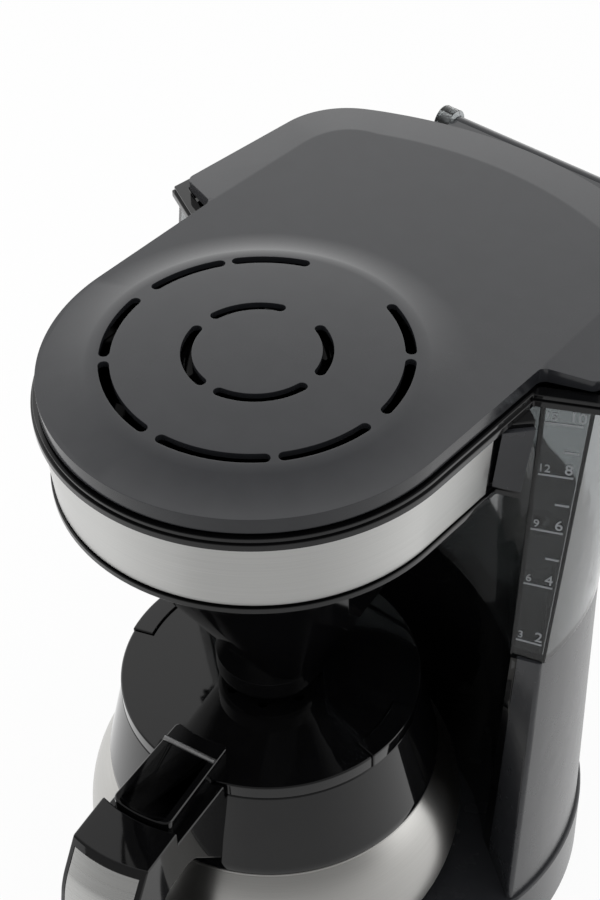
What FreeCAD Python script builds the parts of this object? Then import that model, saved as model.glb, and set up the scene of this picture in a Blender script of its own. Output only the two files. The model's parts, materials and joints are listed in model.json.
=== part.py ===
import FreeCAD, Part
import math
import os

# Drip coffee maker with a thermal jug.
# Millimetres, +Z up, front towards -Y. Pieces are modelled about the brew axis, which is the
# centre line of lid cap, filter and jug, with z = 0 on the table. All pieces are then moved
# together along Y, so that the origin lies under the middle of the whole object.

V = FreeCAD.Vector
UP = V(0, 0, 1)

# General fits
GAP = 0.3               # moving faces beside each other
SEAT = 0.2              # a piece that rests on another body
RUN = 0.05              # radial clearance of a pin in its hole
WALL = 2.5              # moulded walls
TOUCH = 0.001           # points this near count as one
SHARP_JOIN = 2          # offset plans keep their inward corners sharp
ROUND_JOIN = 0          # offset plans without inward corners

# Levels above the table
FOOT_H = 3.0
COVER_T = 2.5
BASE_TOP = 37.0
TANK_BOTTOM = 192.0
BAND_BOTTOM = 283.5
BAND_H = 33.0           # steel band, from the lip of the head up to the frame
FRAME_DECK_T = 1.5
FRAME_LIP_H = 5.0
LID_GROOVE = 1.0
LID_SKIRT_H = 6.9

# Lid in plan
LID_R = 82.5            # round front
LID_INNER_Y = 64.5      # where the straight side meets the shoulder
LID_OUTER_X = 102.8     # outer corner of the shoulder
LID_OUTER_Y = 72.0
LID_REAR_X = 95.5       # rear corner
LID_REAR_R = 175.0      # rear edge, an arc about the brew axis
LID_WALL = 2.5
LID_CORNER_R = 4.0
LID_REAR_CORNER_R = 14.0
BEVEL_R = 154.0         # where the rear slope of the lid begins
BEVEL_DROP = 2.4

# Vented cap on the lid
CAP_FOOT_R = 80.4
CAP_EDGE_R = 62.0
CAP_H = 4.4             # edge of the disc above the lid
CAP_CROWN = 2.0         # middle of the disc above its edge
SLOT_W = 4.2
OUTER_SLOT_R = 56.7
INNER_SLOT_R = 26.3
# Slot spans in degrees from the rear, one side; the other side mirrors them
OUTER_SLOTS = ((22.5, 49.3), (56.2, 84.2), (96.4, 129.0), (136.0, 175.3))
INNER_SLOTS = ((22.0, 77.6), (100.7, 170.2))

# Lid hinge
HINGE_SET = 3.5         # hinge axis behind the lid's rear edge
HINGE_R = 4.2
HINGE_HALF = 43.5
HINGE_PIN_R = 2.0
HINGE_PIN_IN = 12.0     # length of a pin inside the barrel
HINGE_RISE = 5.9        # hinge axis below the lid top
HINGE_CLEAR = 0.9       # room round the barrel in the frame
STRAP_IN = 15.0         # hinge strap under the lid, from the rear edge inwards
EAR_T = 7.0
EAR_R = 6.5
EAR_FOOT = 30.0
EAR_SINK = 5.0          # ear into the tank's rear wall

# Top frame in plan
FRAME_R = 85.0
FRAME_INNER_Y = 57.0
FRAME_OUTER_X = 110.5
FRAME_OUTER_Y = 70.0
FRAME_REAR_X = 100.0
FRAME_REAR_SET = 2.0    # rear edge behind the lid's
FRAME_LIP_W = 6.0
FRAME_CORNER_R = 3.0
MOUTH_FRONT_Y = 97.0    # front edge of the tank's mouth

# Filter head
HEAD_R_TOP = 82.0
HEAD_R_BOTTOM = 79.5
HEAD_SIDE_Y = 41.5
HEAD_FLARE_TOP = (90.3, 51.2)
HEAD_FLARE_LOW = (90.0, 45.2)
HEAD_LIP = 1.8
HEAD_LIP_H = 2.5
HEAD_BORE_R = 78.5      # upper bore, down to the ledge
BAND_T = 0.8
BAND_END_Y = 36.0
PANEL_T = 2.2
PANEL_MARGIN = 2.5
LEDGE_DROP = 16.7       # ledge top below the frame

# Water tank in plan, at its bottom and at its top
TANK_BOT_IN = (90.0, 46.4)
TANK_BOT_OUT = (103.8, 51.0)
TANK_TOP_IN = (87.2, 58.6)
TANK_TOP_OUT = (104.7, 68.4)
TANK_TOP_REAR_X = 97.0
TANK_TOP_REAR_SET = 4.0 # rear wall inside the frame's rear edge
TANK_BOT_MID_Y = 78.5
TANK_TOP_MID_Y = 90.0
TANK_WALL = 2.5

# Round rear of the tank's bottom, the column and the base
ROUND_Y = 60.0          # centre of the round, behind the brew axis
ROUND_SPLIT = 40.0      # degrees from straight behind where the rear wall becomes the side

# Column in plan, at its foot and at its top
COLUMN_FOOT_IN = (72.5, 62.5)
COLUMN_FOOT_OUT = (103.0, 40.4)
COLUMN_TOP_IN = (91.3, 45.2)
COLUMN_TOP_OUT = (103.0, 49.6)
COLUMN_FOOT_MID_Y = 96.0
COLUMN_TOP_MID_Y = 90.0
COLUMN_EDGE_R = 2.0
DUCT_MARGIN = 5.0       # opening for hoses in the base, inside the column's plan

# Base in plan
BASE_R = 85.0
BASE_OUT = (105.6, 45.0)
BASE_SHOULDER_R = 1.2
BASE_CORNER_R = 16.0

# Feet and cover screws
FOOT_R = 7.0
FOOT_PLACES = ((72.0, 118.0), (-72.0, 118.0), (50.0, -48.0), (-50.0, -48.0))
SCREW_PLACES = ((84.0, 60.0), (-84.0, 60.0), (40.0, -66.0), (-40.0, -66.0))
SCREW_R = 1.5
SCREW_HEAD_R = 3.0
SCREW_HEAD_H = 1.5
SCREW_L = 12.0
BOSS_R = 4.0

# Flow heater, a U of two joined bores
HEATER_R = 55.0
HEATER_LEG_Y = 70.0
WATER_R = 6.5
WATER_BORE_R = 4.5
ROD_R = 4.5
ROD_BORE_R = 3.3
ROD_END = 9.0
HEATER_WEB = 5.0
HEATER_END_T = 3.0      # wall at the end of each leg, round the spigot
ROD_Z = 12.0
WATER_Z = 24.0
POST_R = 4.0
POST_Y = 20.0
THERMOSTAT_R = 8.0
THERMOSTAT_L = 9.0
THERMOSTAT_Y = 42.0
FUSE_R = 2.0
FUSE_L = 16.0
FUSE_Y = 42.0

# Water pipes
PORT_X = 55.0
PORT_Y = 116.0
HOSE_R = 6.0
HOSE_BORE_R = 4.1
SPIGOT_L = 12.0
SPIGOT_BORE_R = 2.8
HOSE_BEND_R = 24.0
CLAMP_T = 1.4
CLAMP_W = 6.0
VALVE_R = 8.0
VALVE_H = 20.0
VALVE_WALL = 1.5
BALL_R = 4.2
SEAL_T = 1.6
SEAL_RIM = 3.5
RISER_R = 6.0
RISER_BORE_R = 4.0
RISER_COLLAR_R = 9.0
RISER_COLLAR_T = 2.5
RISER_TOP_GAP = 1.0     # riser mouth below the water guide

# Water guide and spray plate under the lid
GUIDE_W = 18.0
GUIDE_WALL = 1.8
GUIDE_CUP_R = 30.0
SPRAY_T = 1.8
SPRAY_HOLE_R = 1.3
SPRAY_RINGS = ((10.0, 6), (20.0, 12))

# Filter basket
BASKET_RIM_T = 2.0
BASKET_R = 75.0
BASKET_T = 2.0
BASKET_FLAT = 14.0      # degrees of the round top, each side of front and rear, that the flat faces meet
WEDGE_RISE = 10.1       # seam of the filter wedge above the nozzle's bottom
WEDGE_HALF_L = 22.5     # half length of the wedge's seam, left to right
WEDGE_HALF_W = 12.0
NOZZLE_R = 23.0
NOZZLE_T = 3.0
NOZZLE_CLEAR = 3.2      # nozzle above the jug lid
NOZZLE_FLOOR = 2.0
NOZZLE_EDGE_R = 5.0

# Drip stop
DRIP_HOLE_R = 7.0
DRIP_STEM_R = 4.0
DRIP_DISC_R = 9.5
DRIP_DISC_T = 3.0
DRIP_TRAVEL = 4.0
DRIP_SEAL_T = 0.8
DRIP_SPRING_H = 11.0
DRIP_SPRING_T = 1.4
SPIDER_W = 6.0
SPIDER_T = 2.0
STEM_OVER = 3.0

# Jug
JUG_TURN = 9.0          # degrees, handle turned from straight ahead towards +X
JUG_H = 121.5           # foot to lid top
JUG_LID_R = 64.3
JUG_LID_SKIRT = 6.6
JUG_LID_T = 2.5
COLLAR_H = 47.7         # lower edge of the collar below the lid top
COLLAR_BOTTOM_R = 72.5
COLLAR_T = 3.0
SHELL_BELLY_R = 83.4
SHELL_BELLY_H = 38.8    # widest point above the foot
SHELL_FOOT_R = 74.0
SHELL_T = 0.8
CAP_RING_H = 6.0
FLASK_GAP = 5.0
NECK_R = 56.0
NECK_TOP_GAP = 1.0
PLUG_GAP = 1.5
PLUG_DEPTH = 22.0
PLUG_T = 2.0
PLUG_PORT_R = 36.0
BOSS_TOP_R = 3.5
BOSS_FOOT_R = 14.0
BOSS_H = 2.4
BREW_HOLE_R = 2.2
BREW_HOLE_PCD = 40.0
BREW_HOLES = 8
GRIP_ARC = 28.0         # degrees of the rim
GRIP_BEARINGS = (0.0, 180.0)
GRIP_W = 9.0
GRIP_H = 3.0
GRIP_GAP = 0.6          # room between the lid's rim and the handle
LID_SEAL_T = 2.0
LID_SEAL_H = 3.0
SPOUT_REACH = 9.0
SPOUT_HALF = 12.0

# Tongue of the jug lid and the thumb lever in it
TONGUE_IN = 53.5
TONGUE_OUT = 100.0
TONGUE_HALF_IN = 12.8
TONGUE_HALF_OUT = 12.2
TONGUE_TOP_IN = 14.3    # above the jug lid
TONGUE_TOP_OUT = 9.8
TONGUE_RIM = 3.5
TONGUE_FLOOR = 1.6
LEVER_GAP = 0.5
LEVER_T = 2.4
LEVER_SINK = 0.6
LEVER_PIN_R = 1.2
LEVER_PIN_SET = 4.0     # pin from the inner end of the lever
LEVER_KNUCKLE = 2.6

# Pour valve in the jug lid
POUR_DISC_R = 40.0
POUR_DISC_T = 3.0
POUR_STEM_R = 3.0
POUR_COLLAR_T = 2.0
POUR_SPRING_T = 1.2
POUR_SPRING_H = 12.0

# Jug handle, side view: reach from the jug axis and height
HANDLE_HALF_IN = 12.5
HANDLE_HALF_OUT = 17.5
HANDLE_TOP_GAP = 1.0    # flat top of the handle above the jug lid
HANDLE_RISE_R = 103.0
HANDLE_EDGE_R = 118.5
HANDLE_EDGE_UP = 6.8    # top edge of the inlay above the jug lid
HANDLE_BACK_R = 131.0
HANDLE_BACK_DOWN = 10.7 # bend below the jug lid
HANDLE_REACH = 137.0
HANDLE_REACH_DOWN = 40.7
HANDLE_LOW_R = 131.0
HANDLE_LOW_UP = 46.8    # lower bend above the jug's foot
HANDLE_FOOT_UP = 12.8   # underside of the lower arm above the jug's foot
HANDLE_THICK = 19.0
HANDLE_ROOT_UP = 5.0    # upper arm's root above the collar's lower edge
HANDLE_CORNER_R = 10.0
HANDLE_BEND_R = 28.0
HANDLE_BOW_R = 60.0
HANDLE_LIP_R = 2.0
INLAY_T = 1.0
INLAY_MARGIN = 3.5
HANDLE_SCREW_R = 2.0
HANDLE_SCREW_HEAD_R = 3.6
HANDLE_SCREW_HEAD_H = 1.8
HANDLE_SCREW_L = 16.0
HANDLE_SCREW_UP = 25.0  # screw above the collar's lower edge

# Rocker switch at the front of the base
SWITCH_Z = 19.0
SWITCH_W = 24.0
SWITCH_H = 17.0
SWITCH_FLANGE = 2.0
SWITCH_FLANGE_T = 1.2
SWITCH_DEPTH = 18.0
SWITCH_WALL = 2.0
ROCKER_T = 7.0
ROCKER_GAP = 0.6
ROCKER_SWING = 7.0      # degrees each way
ROCKER_PIN_R = 1.4
LENS_W = 8.0
LENS_H = 2.2
LENS_T = 0.8

# Mains inlet at the rear of the base
INLET_X = -58.0
INLET_Z = 18.0
INLET_R = 8.0
INLET_BORE_R = 3.8
INLET_OUT = 2.0
INLET_IN = 10.0
INLET_FLANGE = 2.0

# Worked-out places of the rear walls
HINGE_Y = LID_REAR_R + HINGE_SET
FRAME_REAR_R = LID_REAR_R + FRAME_REAR_SET
TANK_TOP_REAR_R = FRAME_REAR_R - TANK_TOP_REAR_SET

# Worked-out levels
FRAME_BOTTOM = BAND_BOTTOM + BAND_H
PLATFORM = BASE_TOP - WALL
FRAME_DECK = FRAME_BOTTOM + FRAME_DECK_T
FRAME_LIP = FRAME_BOTTOM + FRAME_LIP_H
LID_SKIRT = FRAME_LIP + LID_GROOVE
LID_TOP = LID_SKIRT + LID_SKIRT_H
LID_UNDER = LID_TOP - LID_WALL
HINGE_Z = LID_TOP - HINGE_RISE
COVER_TOP = FOOT_H + COVER_T
LEDGE_TOP = FRAME_BOTTOM - LEDGE_DROP
WEDGE_TOP = BAND_BOTTOM - HEAD_LIP_H    # where the round wall turns into the filter wedge
JUG_FOOT = BASE_TOP + SEAT
JUG_LID_Z = JUG_FOOT + JUG_H
COLLAR_BOTTOM_Z = JUG_LID_Z - COLLAR_H
SHELL_BELLY_Z = JUG_FOOT + SHELL_BELLY_H
NOZZLE_BOTTOM = JUG_LID_Z + NOZZLE_CLEAR
WEDGE_BOTTOM = NOZZLE_BOTTOM + WEDGE_RISE
DRIP_TIP = JUG_LID_Z + BOSS_H + GAP
DRIP_DISC = NOZZLE_BOTTOM + NOZZLE_FLOOR + DRIP_TRAVEL + SEAT + DRIP_SEAL_T
GUIDE_BOTTOM = FRAME_DECK + GAP + SEAT
COLLAR_TOP = JUG_LID_Z - JUG_LID_SKIRT - GAP
PLUG_BOTTOM = JUG_LID_Z - PLUG_DEPTH
HANDLE_TOP = JUG_LID_Z + HANDLE_TOP_GAP
HANDLE_EDGE = (HANDLE_EDGE_R, JUG_LID_Z + HANDLE_EDGE_UP)
HANDLE_BACK = (HANDLE_BACK_R, JUG_LID_Z - HANDLE_BACK_DOWN)
HANDLE_REACH_Z = JUG_LID_Z - HANDLE_REACH_DOWN
HANDLE_LOW = (HANDLE_LOW_R, JUG_FOOT + HANDLE_LOW_UP)
HANDLE_FOOT_Z = JUG_FOOT + HANDLE_FOOT_UP
HANDLE_ROOT_Z = COLLAR_BOTTOM_Z + HANDLE_ROOT_UP
HANDLE_SCREW_Z = COLLAR_BOTTOM_Z + HANDLE_SCREW_UP
TONGUE_BOTTOM = HANDLE_TOP + GAP
EAR_X = HINGE_HALF + GAP


def line(a, b):
    """Straight edge between two points."""
    return Part.LineSegment(V(*a), V(*b)).toShape()


def arc(a, b, c):
    """Arc from a through b to c."""
    return Part.Arc(V(*a), V(*b), V(*c)).toShape()


def prism(wire, height):
    """Upright solid on a flat closed wire."""
    return Part.Face(wire).extrude(V(0, 0, height))


def disc(r, z0, z1, x=0.0, y=0.0):
    """Upright cylinder between two levels."""
    return Part.makeCylinder(r, z1 - z0, V(x, y, z0))


def tube(r, bore, z0, z1, x=0.0, y=0.0):
    """Upright pipe between two levels."""
    return disc(r, z0, z1, x, y).cut(disc(bore, z0, z1, x, y))


def block(x0, x1, y0, y1, z0, z1):
    """Box between two corners."""
    return Part.makeBox(x1 - x0, y1 - y0, z1 - z0, V(x0, y0, z0))


def turned(points):
    """Solid of revolution about the brew axis from (radius, level) points."""
    path = Part.makePolygon([V(r, 0, z) for r, z in points] + [V(points[0][0], 0, points[0][1])])
    return Part.Face(path).revolve(V(0, 0, 0), UP, 360)


def side_path(corners):
    """Closed wire in the plane x = 0 from (reach, level, corner radius), with rounded corners."""
    points = [V(0, -reach, level) for reach, level, radius in corners]
    edges = []
    ends = []
    for i, (reach, level, radius) in enumerate(corners):
        here = points[i]
        back = (points[i - 1] - here).normalize()
        ahead = (points[(i + 1) % len(points)] - here).normalize()
        half = back.getAngle(ahead) / 2
        start = here + back * (radius / math.tan(half))
        end = here + ahead * (radius / math.tan(half))
        if radius > 0:
            inward = (back + ahead).normalize()
            middle = here + inward * (radius / math.sin(half) - radius)
            edges.append(Part.Arc(start, middle, end).toShape())
        ends.append((start, end))
    for i, (start, end) in enumerate(ends):
        edges.append(Part.LineSegment(end, ends[(i + 1) % len(ends)][0]).toShape())
    return Part.Wire(Part.__sortEdges__(edges))


def joined(shapes):
    """All shapes as one solid."""
    whole = shapes[0].multiFuse(shapes[1:]) if len(shapes) > 1 else shapes[0]
    return whole.removeSplitter()


def round_uprights(solid, radius, pick):
    """Round the upright edges whose foot passes the test."""
    chosen = []
    for edge in solid.Edges:
        a = edge.Vertexes[0].Point
        b = edge.Vertexes[-1].Point
        if abs(a.z - b.z) > TOUCH and pick(a):
            chosen.append(edge)
    return solid.makeFillet(radius, chosen) if chosen else solid


def shoulder_wire(front_r, inner_y, outer, rear_x, rear_r, z):
    """Closed plan of lid and frame: round front, straight sides, shoulders and an arc at the rear."""
    rear_y = math.sqrt(rear_r ** 2 - rear_x ** 2)
    right = [(front_r, 0, z), (front_r, inner_y, z), (outer[0], outer[1], z), (rear_x, rear_y, z)]
    left = [(-x, y, level) for x, y, level in reversed(right)]
    edges = [line(a, b) for a, b in zip(right, right[1:])]
    edges.append(arc(right[-1], (0, rear_r, z), left[0]))
    edges += [line(a, b) for a, b in zip(left, left[1:])]
    edges.append(arc(left[-1], (0, -front_r, z), right[0]))
    return Part.Wire(edges)


def hollow_wire(inner, outer, rear, mid_y, z):
    """Closed plan of tank and column: angled front faces, the given rear edges, hollowed front."""
    right = line((inner[0], inner[1], z), (outer[0], outer[1], z))
    left = line((-outer[0], outer[1], z), (-inner[0], inner[1], z))
    front = arc((-inner[0], inner[1], z), (0, mid_y, z), (inner[0], inner[1], z))
    return Part.Wire([right] + rear + [left, front])


def straight_rear(outer, rear_x, rear_r, z):
    """Straight sides and an arc about the brew axis, from the right front corner to the left one."""
    rear_y = math.sqrt(rear_r ** 2 - rear_x ** 2)
    right = line((outer[0], outer[1], z), (rear_x, rear_y, z))
    back = arc((rear_x, rear_y, z), (0, rear_r, z), (-rear_x, rear_y, z))
    left = line((-rear_x, rear_y, z), (-outer[0], outer[1], z))
    return [right, back, left]


def round_radius(outer):
    """Radius of the round rear that starts at a front corner."""
    return math.hypot(outer[0], outer[1] - ROUND_Y)


def round_rear(outer, z):
    """Three arcs of one circle, from the right front corner round the rear to the left one."""
    radius = round_radius(outer)
    start = math.atan2(outer[0], outer[1] - ROUND_Y)
    split = math.radians(ROUND_SPLIT)
    side = (start + split) / 2
    turns = (start, side, split, 0.0, -split, -side, -start)
    spots = [(radius * math.sin(a), ROUND_Y + radius * math.cos(a), z) for a in turns]
    return [arc(*spots[:3]), arc(*spots[2:5]), arc(*spots[4:])]


def shrunk(wire, inset, join=SHARP_JOIN):
    """The same plan, moved inwards; the join only matters at inward corners."""
    return wire.makeOffset2D(-inset, join)


def lid_wire(z):
    """Plan of the lid."""
    return shoulder_wire(LID_R, LID_INNER_Y, (LID_OUTER_X, LID_OUTER_Y), LID_REAR_X, LID_REAR_R, z)


def frame_wire(z):
    """Plan of the top frame."""
    outer = (FRAME_OUTER_X, FRAME_OUTER_Y)
    return shoulder_wire(FRAME_R, FRAME_INNER_Y, outer, FRAME_REAR_X, FRAME_REAR_R, z)


def column_foot_wire(z):
    """Plan of the column at its foot."""
    return hollow_wire(COLUMN_FOOT_IN, COLUMN_FOOT_OUT, round_rear(COLUMN_FOOT_OUT, z), COLUMN_FOOT_MID_Y, z)


def column_top_wire(z):
    """Plan of the column at its top."""
    return hollow_wire(COLUMN_TOP_IN, COLUMN_TOP_OUT, round_rear(COLUMN_TOP_OUT, z), COLUMN_TOP_MID_Y, z)


def tank_wires():
    """Plans of the tank at its bottom and at its top."""
    low_rear = round_rear(TANK_BOT_OUT, TANK_BOTTOM)
    high_rear = straight_rear(TANK_TOP_OUT, TANK_TOP_REAR_X, TANK_TOP_REAR_R, FRAME_BOTTOM)
    low = hollow_wire(TANK_BOT_IN, TANK_BOT_OUT, low_rear, TANK_BOT_MID_Y, TANK_BOTTOM)
    high = hollow_wire(TANK_TOP_IN, TANK_TOP_OUT, high_rear, TANK_TOP_MID_Y, FRAME_BOTTOM)
    return low, high


def base_wire(z):
    """Plan of the base: round front, tangent flanks and a round rear."""
    bearing = math.atan2(BASE_OUT[1], BASE_OUT[0]) - math.acos(BASE_R / math.hypot(*BASE_OUT))
    touch = (BASE_R * math.cos(bearing), BASE_R * math.sin(bearing), z)
    right = (BASE_OUT[0], BASE_OUT[1], z)
    left = (-BASE_OUT[0], BASE_OUT[1], z)
    far_touch = (-touch[0], touch[1], z)
    rear = (0, ROUND_Y + round_radius(BASE_OUT), z)
    return Part.Wire([line(touch, right), arc(right, rear, left), line(left, far_touch),
                      arc(far_touch, (0, -BASE_R, z), touch)])


def head_wire(front_r, flare, z):
    """Plan of the filter head: round front, sides that flare to the tank, curved rear."""
    right = [(front_r, 0, z), (front_r, HEAD_SIDE_Y, z), (flare[0], flare[1], z)]
    left = [(-x, y, level) for x, y, level in reversed(right)]
    edges = [line(a, b) for a, b in zip(right, right[1:])]
    edges.append(arc(right[-1], (0, TANK_BOT_MID_Y + TANK_WALL, z), left[0]))
    edges += [line(a, b) for a, b in zip(left, left[1:])]
    edges.append(arc(left[-1], (0, -front_r, z), right[0]))
    return Part.Wire(edges)


# Base


def base_shell():
    """Base housing with the flat jug platform, screw bosses and heater posts."""
    body = prism(base_wire(FOOT_H), BASE_TOP - FOOT_H)
    body = round_uprights(body, BASE_CORNER_R, lambda p: p.y > 0)
    rim = [e for e in body.Edges if all(abs(v.Z - BASE_TOP) < TOUCH for v in e.Vertexes)]
    body = body.makeFillet(BASE_SHOULDER_R, rim)
    body = body.cut(prism(shrunk(base_wire(FOOT_H), WALL), PLATFORM - FOOT_H))
    fittings = []
    for x, y in SCREW_PLACES:
        fittings.append(tube(BOSS_R, SCREW_R, COVER_TOP, PLATFORM, x, y))
    for x, y in heater_posts():
        fittings.append(disc(POST_R, WATER_Z + WATER_R, PLATFORM, x, y))
    body = joined([body] + fittings)
    duct = prism(shrunk(column_foot_wire(PLATFORM), DUCT_MARGIN, ROUND_JOIN), WALL)
    return body.cut(duct).cut(switch_hole()).cut(inlet_hole())


def heater_posts():
    """Places where the heater is held from above and below."""
    return ((HEATER_R, POST_Y), (-HEATER_R, POST_Y), (0.0, -HEATER_R))


def bottom_cover():
    """Flat cover under the base, with posts below the heater."""
    plate = prism(shrunk(base_wire(FOOT_H), WALL + SEAT), COVER_T)
    posts = [disc(POST_R, COVER_TOP, ROD_Z - ROD_R, x, y) for x, y in heater_posts()]
    plate = joined([plate] + posts)
    for x, y in SCREW_PLACES:
        plate = plate.cut(disc(SCREW_R + RUN, FOOT_H, COVER_TOP, x, y))
        plate = plate.cut(disc(SCREW_HEAD_R + RUN, FOOT_H, FOOT_H + SCREW_HEAD_H, x, y))
    return plate


def rubber_feet():
    """Four round feet."""
    return Part.makeCompound([disc(FOOT_R, 0, FOOT_H, x, y) for x, y in FOOT_PLACES])


def cover_screws():
    """Screws that hold the bottom cover."""
    screws = []
    for x, y in SCREW_PLACES:
        head = disc(SCREW_HEAD_R, FOOT_H, FOOT_H + SCREW_HEAD_H, x, y)
        shank = disc(SCREW_R, FOOT_H, FOOT_H + SCREW_L, x, y)
        screws.append(joined([head, shank]))
    return Part.makeCompound(screws)


def switch_hole():
    """Opening in the base for the switch body."""
    return block(-SWITCH_W / 2, SWITCH_W / 2, -BASE_R - SWITCH_FLANGE_T, -BASE_R + SWITCH_DEPTH,
                 SWITCH_Z - SWITCH_H / 2, SWITCH_Z + SWITCH_H / 2)


def switch_face():
    """Y of the plane that the switch flange lies on, clear of the curved base front."""
    reach = SWITCH_W / 2 + SWITCH_FLANGE
    return -math.sqrt(BASE_R ** 2 - reach ** 2)


def switch_body():
    """Switch housing with a flange round the rocker."""
    front = -BASE_R - SWITCH_FLANGE_T
    half_w = SWITCH_W / 2
    half_h = SWITCH_H / 2
    flange = block(-half_w - SWITCH_FLANGE, half_w + SWITCH_FLANGE, front, switch_face(),
                   SWITCH_Z - half_h - SWITCH_FLANGE, SWITCH_Z + half_h + SWITCH_FLANGE)
    flange = flange.cut(disc(BASE_R, 0, BASE_TOP))
    box = block(-half_w, half_w, front, front + SWITCH_DEPTH, SWITCH_Z - half_h, SWITCH_Z + half_h)
    body = joined([flange, box])
    pocket = block(-half_w + SWITCH_WALL, half_w - SWITCH_WALL, front,
                   front + SWITCH_DEPTH - SWITCH_WALL,
                   SWITCH_Z - half_h + SWITCH_WALL, SWITCH_Z + half_h - SWITCH_WALL)
    bore = Part.makeCylinder(ROCKER_PIN_R + RUN, SWITCH_W, V(-half_w, rocker_axis_y(), SWITCH_Z),
                             V(1, 0, 0))
    return body.cut(pocket).cut(bore)


def rocker_axis_y():
    """Y of the rocker's pivot."""
    return -BASE_R - SWITCH_FLANGE_T + ROCKER_T / 2


def rocker_size():
    """Half width and half height of the rocker in its pocket."""
    half_w = SWITCH_W / 2 - SWITCH_WALL - ROCKER_GAP
    half_h = SWITCH_H / 2 - SWITCH_WALL - ROCKER_GAP
    return half_w, half_h


def switch_rocker():
    """Rocker with its pivot pin, resting in the off position."""
    half_w, half_h = rocker_size()
    axis = V(0, rocker_axis_y(), SWITCH_Z)
    front = -BASE_R - SWITCH_FLANGE_T
    body = block(-half_w, half_w, front, front + ROCKER_T, SWITCH_Z - half_h, SWITCH_Z + half_h)
    pin = Part.makeCylinder(ROCKER_PIN_R, SWITCH_W, V(-SWITCH_W / 2, axis.y, axis.z), V(1, 0, 0))
    body = joined([body, pin]).cut(lens_solid())
    body.rotate(axis, V(1, 0, 0), -ROCKER_SWING)
    return body


def lens_solid():
    """Lamp window near the top of the rocker, before the rocker tilts."""
    half_h = rocker_size()[1]
    front = -BASE_R - SWITCH_FLANGE_T
    z = SWITCH_Z + half_h / 2
    return block(-LENS_W / 2, LENS_W / 2, front, front + LENS_T, z - LENS_H / 2, z + LENS_H / 2)


def switch_lens():
    """Lamp window of the rocker."""
    lens = lens_solid()
    lens.rotate(V(0, rocker_axis_y(), SWITCH_Z), V(1, 0, 0), -ROCKER_SWING)
    return lens


def inlet_face():
    """Y of the outside of the base at the mains inlet."""
    return ROUND_Y + math.sqrt(round_radius(BASE_OUT) ** 2 - INLET_X ** 2)


def inlet_bar(radius, length):
    """Level cylinder at the mains inlet, from the inside of the base to the rear."""
    return Part.makeCylinder(radius, length, V(INLET_X, inlet_face() - INLET_IN, INLET_Z), V(0, 1, 0))


def inlet_hole():
    """Hole in the rear of the base for the mains inlet."""
    return inlet_bar(INLET_R, 2 * INLET_IN)


def cable_inlet():
    """Bush for the mains lead, with a flange inside the wall."""
    wall = prism(base_wire(0), BASE_TOP).cut(prism(shrunk(base_wire(0), WALL), BASE_TOP))
    flange = inlet_bar(INLET_R + INLET_FLANGE, WALL).cut(wall)
    bush = inlet_bar(INLET_R, INLET_IN + INLET_OUT)
    return joined([bush, flange]).cut(inlet_bar(INLET_BORE_R, 2 * INLET_IN))


# Heater and pipes


def u_bar(radius, z, run):
    """Round bar bent to a U: half a ring at the front and two legs to the rear."""
    front = Part.makeTorus(HEATER_R, radius, V(0, 0, z), UP, -180, 180, 180)
    front.rotate(V(0, 0, z), UP, 180)
    sides = (HEATER_R, -HEATER_R)
    legs = [Part.makeCylinder(radius, run, V(x, 0, z), V(0, 1, 0)) for x in sides]
    return joined([front] + legs)


def u_web():
    """Flat web between the water bore and the heating rod."""
    half = HEATER_WEB / 2
    ring = tube(HEATER_R + half, HEATER_R - half, ROD_Z, WATER_Z)
    side = 2 * HEATER_R
    ring = ring.cut(block(-side, side, 0, side, ROD_Z, WATER_Z))
    legs = [block(x - half, x + half, 0, HEATER_LEG_Y, ROD_Z, WATER_Z) for x in (HEATER_R, -HEATER_R)]
    return joined([ring] + legs)


def leg_bars(radius, start, end):
    """Level cylinders on the axes of both heater legs, between two distances to the rear."""
    sides = (HEATER_R, -HEATER_R)
    return [Part.makeCylinder(radius, end - start, V(x, start, WATER_Z), V(0, 1, 0)) for x in sides]


def flow_heater():
    """Aluminium flow heater with a water bore above a rod bore, and a spigot on each leg."""
    bore_end = HEATER_LEG_Y - HEATER_END_T
    spigot_end = HEATER_LEG_Y + SPIGOT_L
    body = joined([u_bar(WATER_R, WATER_Z, HEATER_LEG_Y), u_bar(ROD_R, ROD_Z, HEATER_LEG_Y), u_web()]
                  + leg_bars(HOSE_BORE_R - RUN, bore_end, spigot_end))
    body = body.cut(u_bar(WATER_BORE_R, WATER_Z, bore_end)).cut(u_bar(ROD_BORE_R, ROD_Z, HEATER_LEG_Y))
    for bore in leg_bars(SPIGOT_BORE_R, 0, spigot_end):
        body = body.cut(bore)
    return body


def heating_element():
    """Heating rod in the lower bore, with its ends standing out."""
    return u_bar(ROD_BORE_R - RUN, ROD_Z, HEATER_LEG_Y + ROD_END)


def thermostat():
    """Disc thermostat on the inner side of the left leg."""
    x = -HEATER_R + WATER_R
    return Part.makeCylinder(THERMOSTAT_R, THERMOSTAT_L, V(x, THERMOSTAT_Y, WATER_Z), V(1, 0, 0))


def thermal_fuse():
    """Fuse lying along the inner side of the right leg."""
    x = HEATER_R - WATER_R - FUSE_R
    return Part.makeCylinder(FUSE_R, FUSE_L, V(x, FUSE_Y, WATER_Z), V(0, 1, 0))


def bent_hose(x, top):
    """Hose from a leg of the heater to an upright pipe."""
    start = HEATER_LEG_Y + SEAT
    y = PORT_Y
    r = HOSE_BEND_R
    z = WATER_Z
    rest = r * (1 - math.sqrt(0.5))
    path = Part.Wire([
        line((x, start, z), (x, y - r, z)),
        arc((x, y - r, z), (x, y - rest, z + rest), (x, y, z + r)),
        line((x, y, z + r), (x, y, top)),
    ])
    bars = []
    for radius in (HOSE_R, HOSE_BORE_R):
        ring = Part.Wire(Part.makeCircle(radius, V(x, start, z), V(0, 1, 0)))
        bars.append(path.makePipeShell([ring], True, False))
    return bars[0].cut(bars[1])


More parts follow.
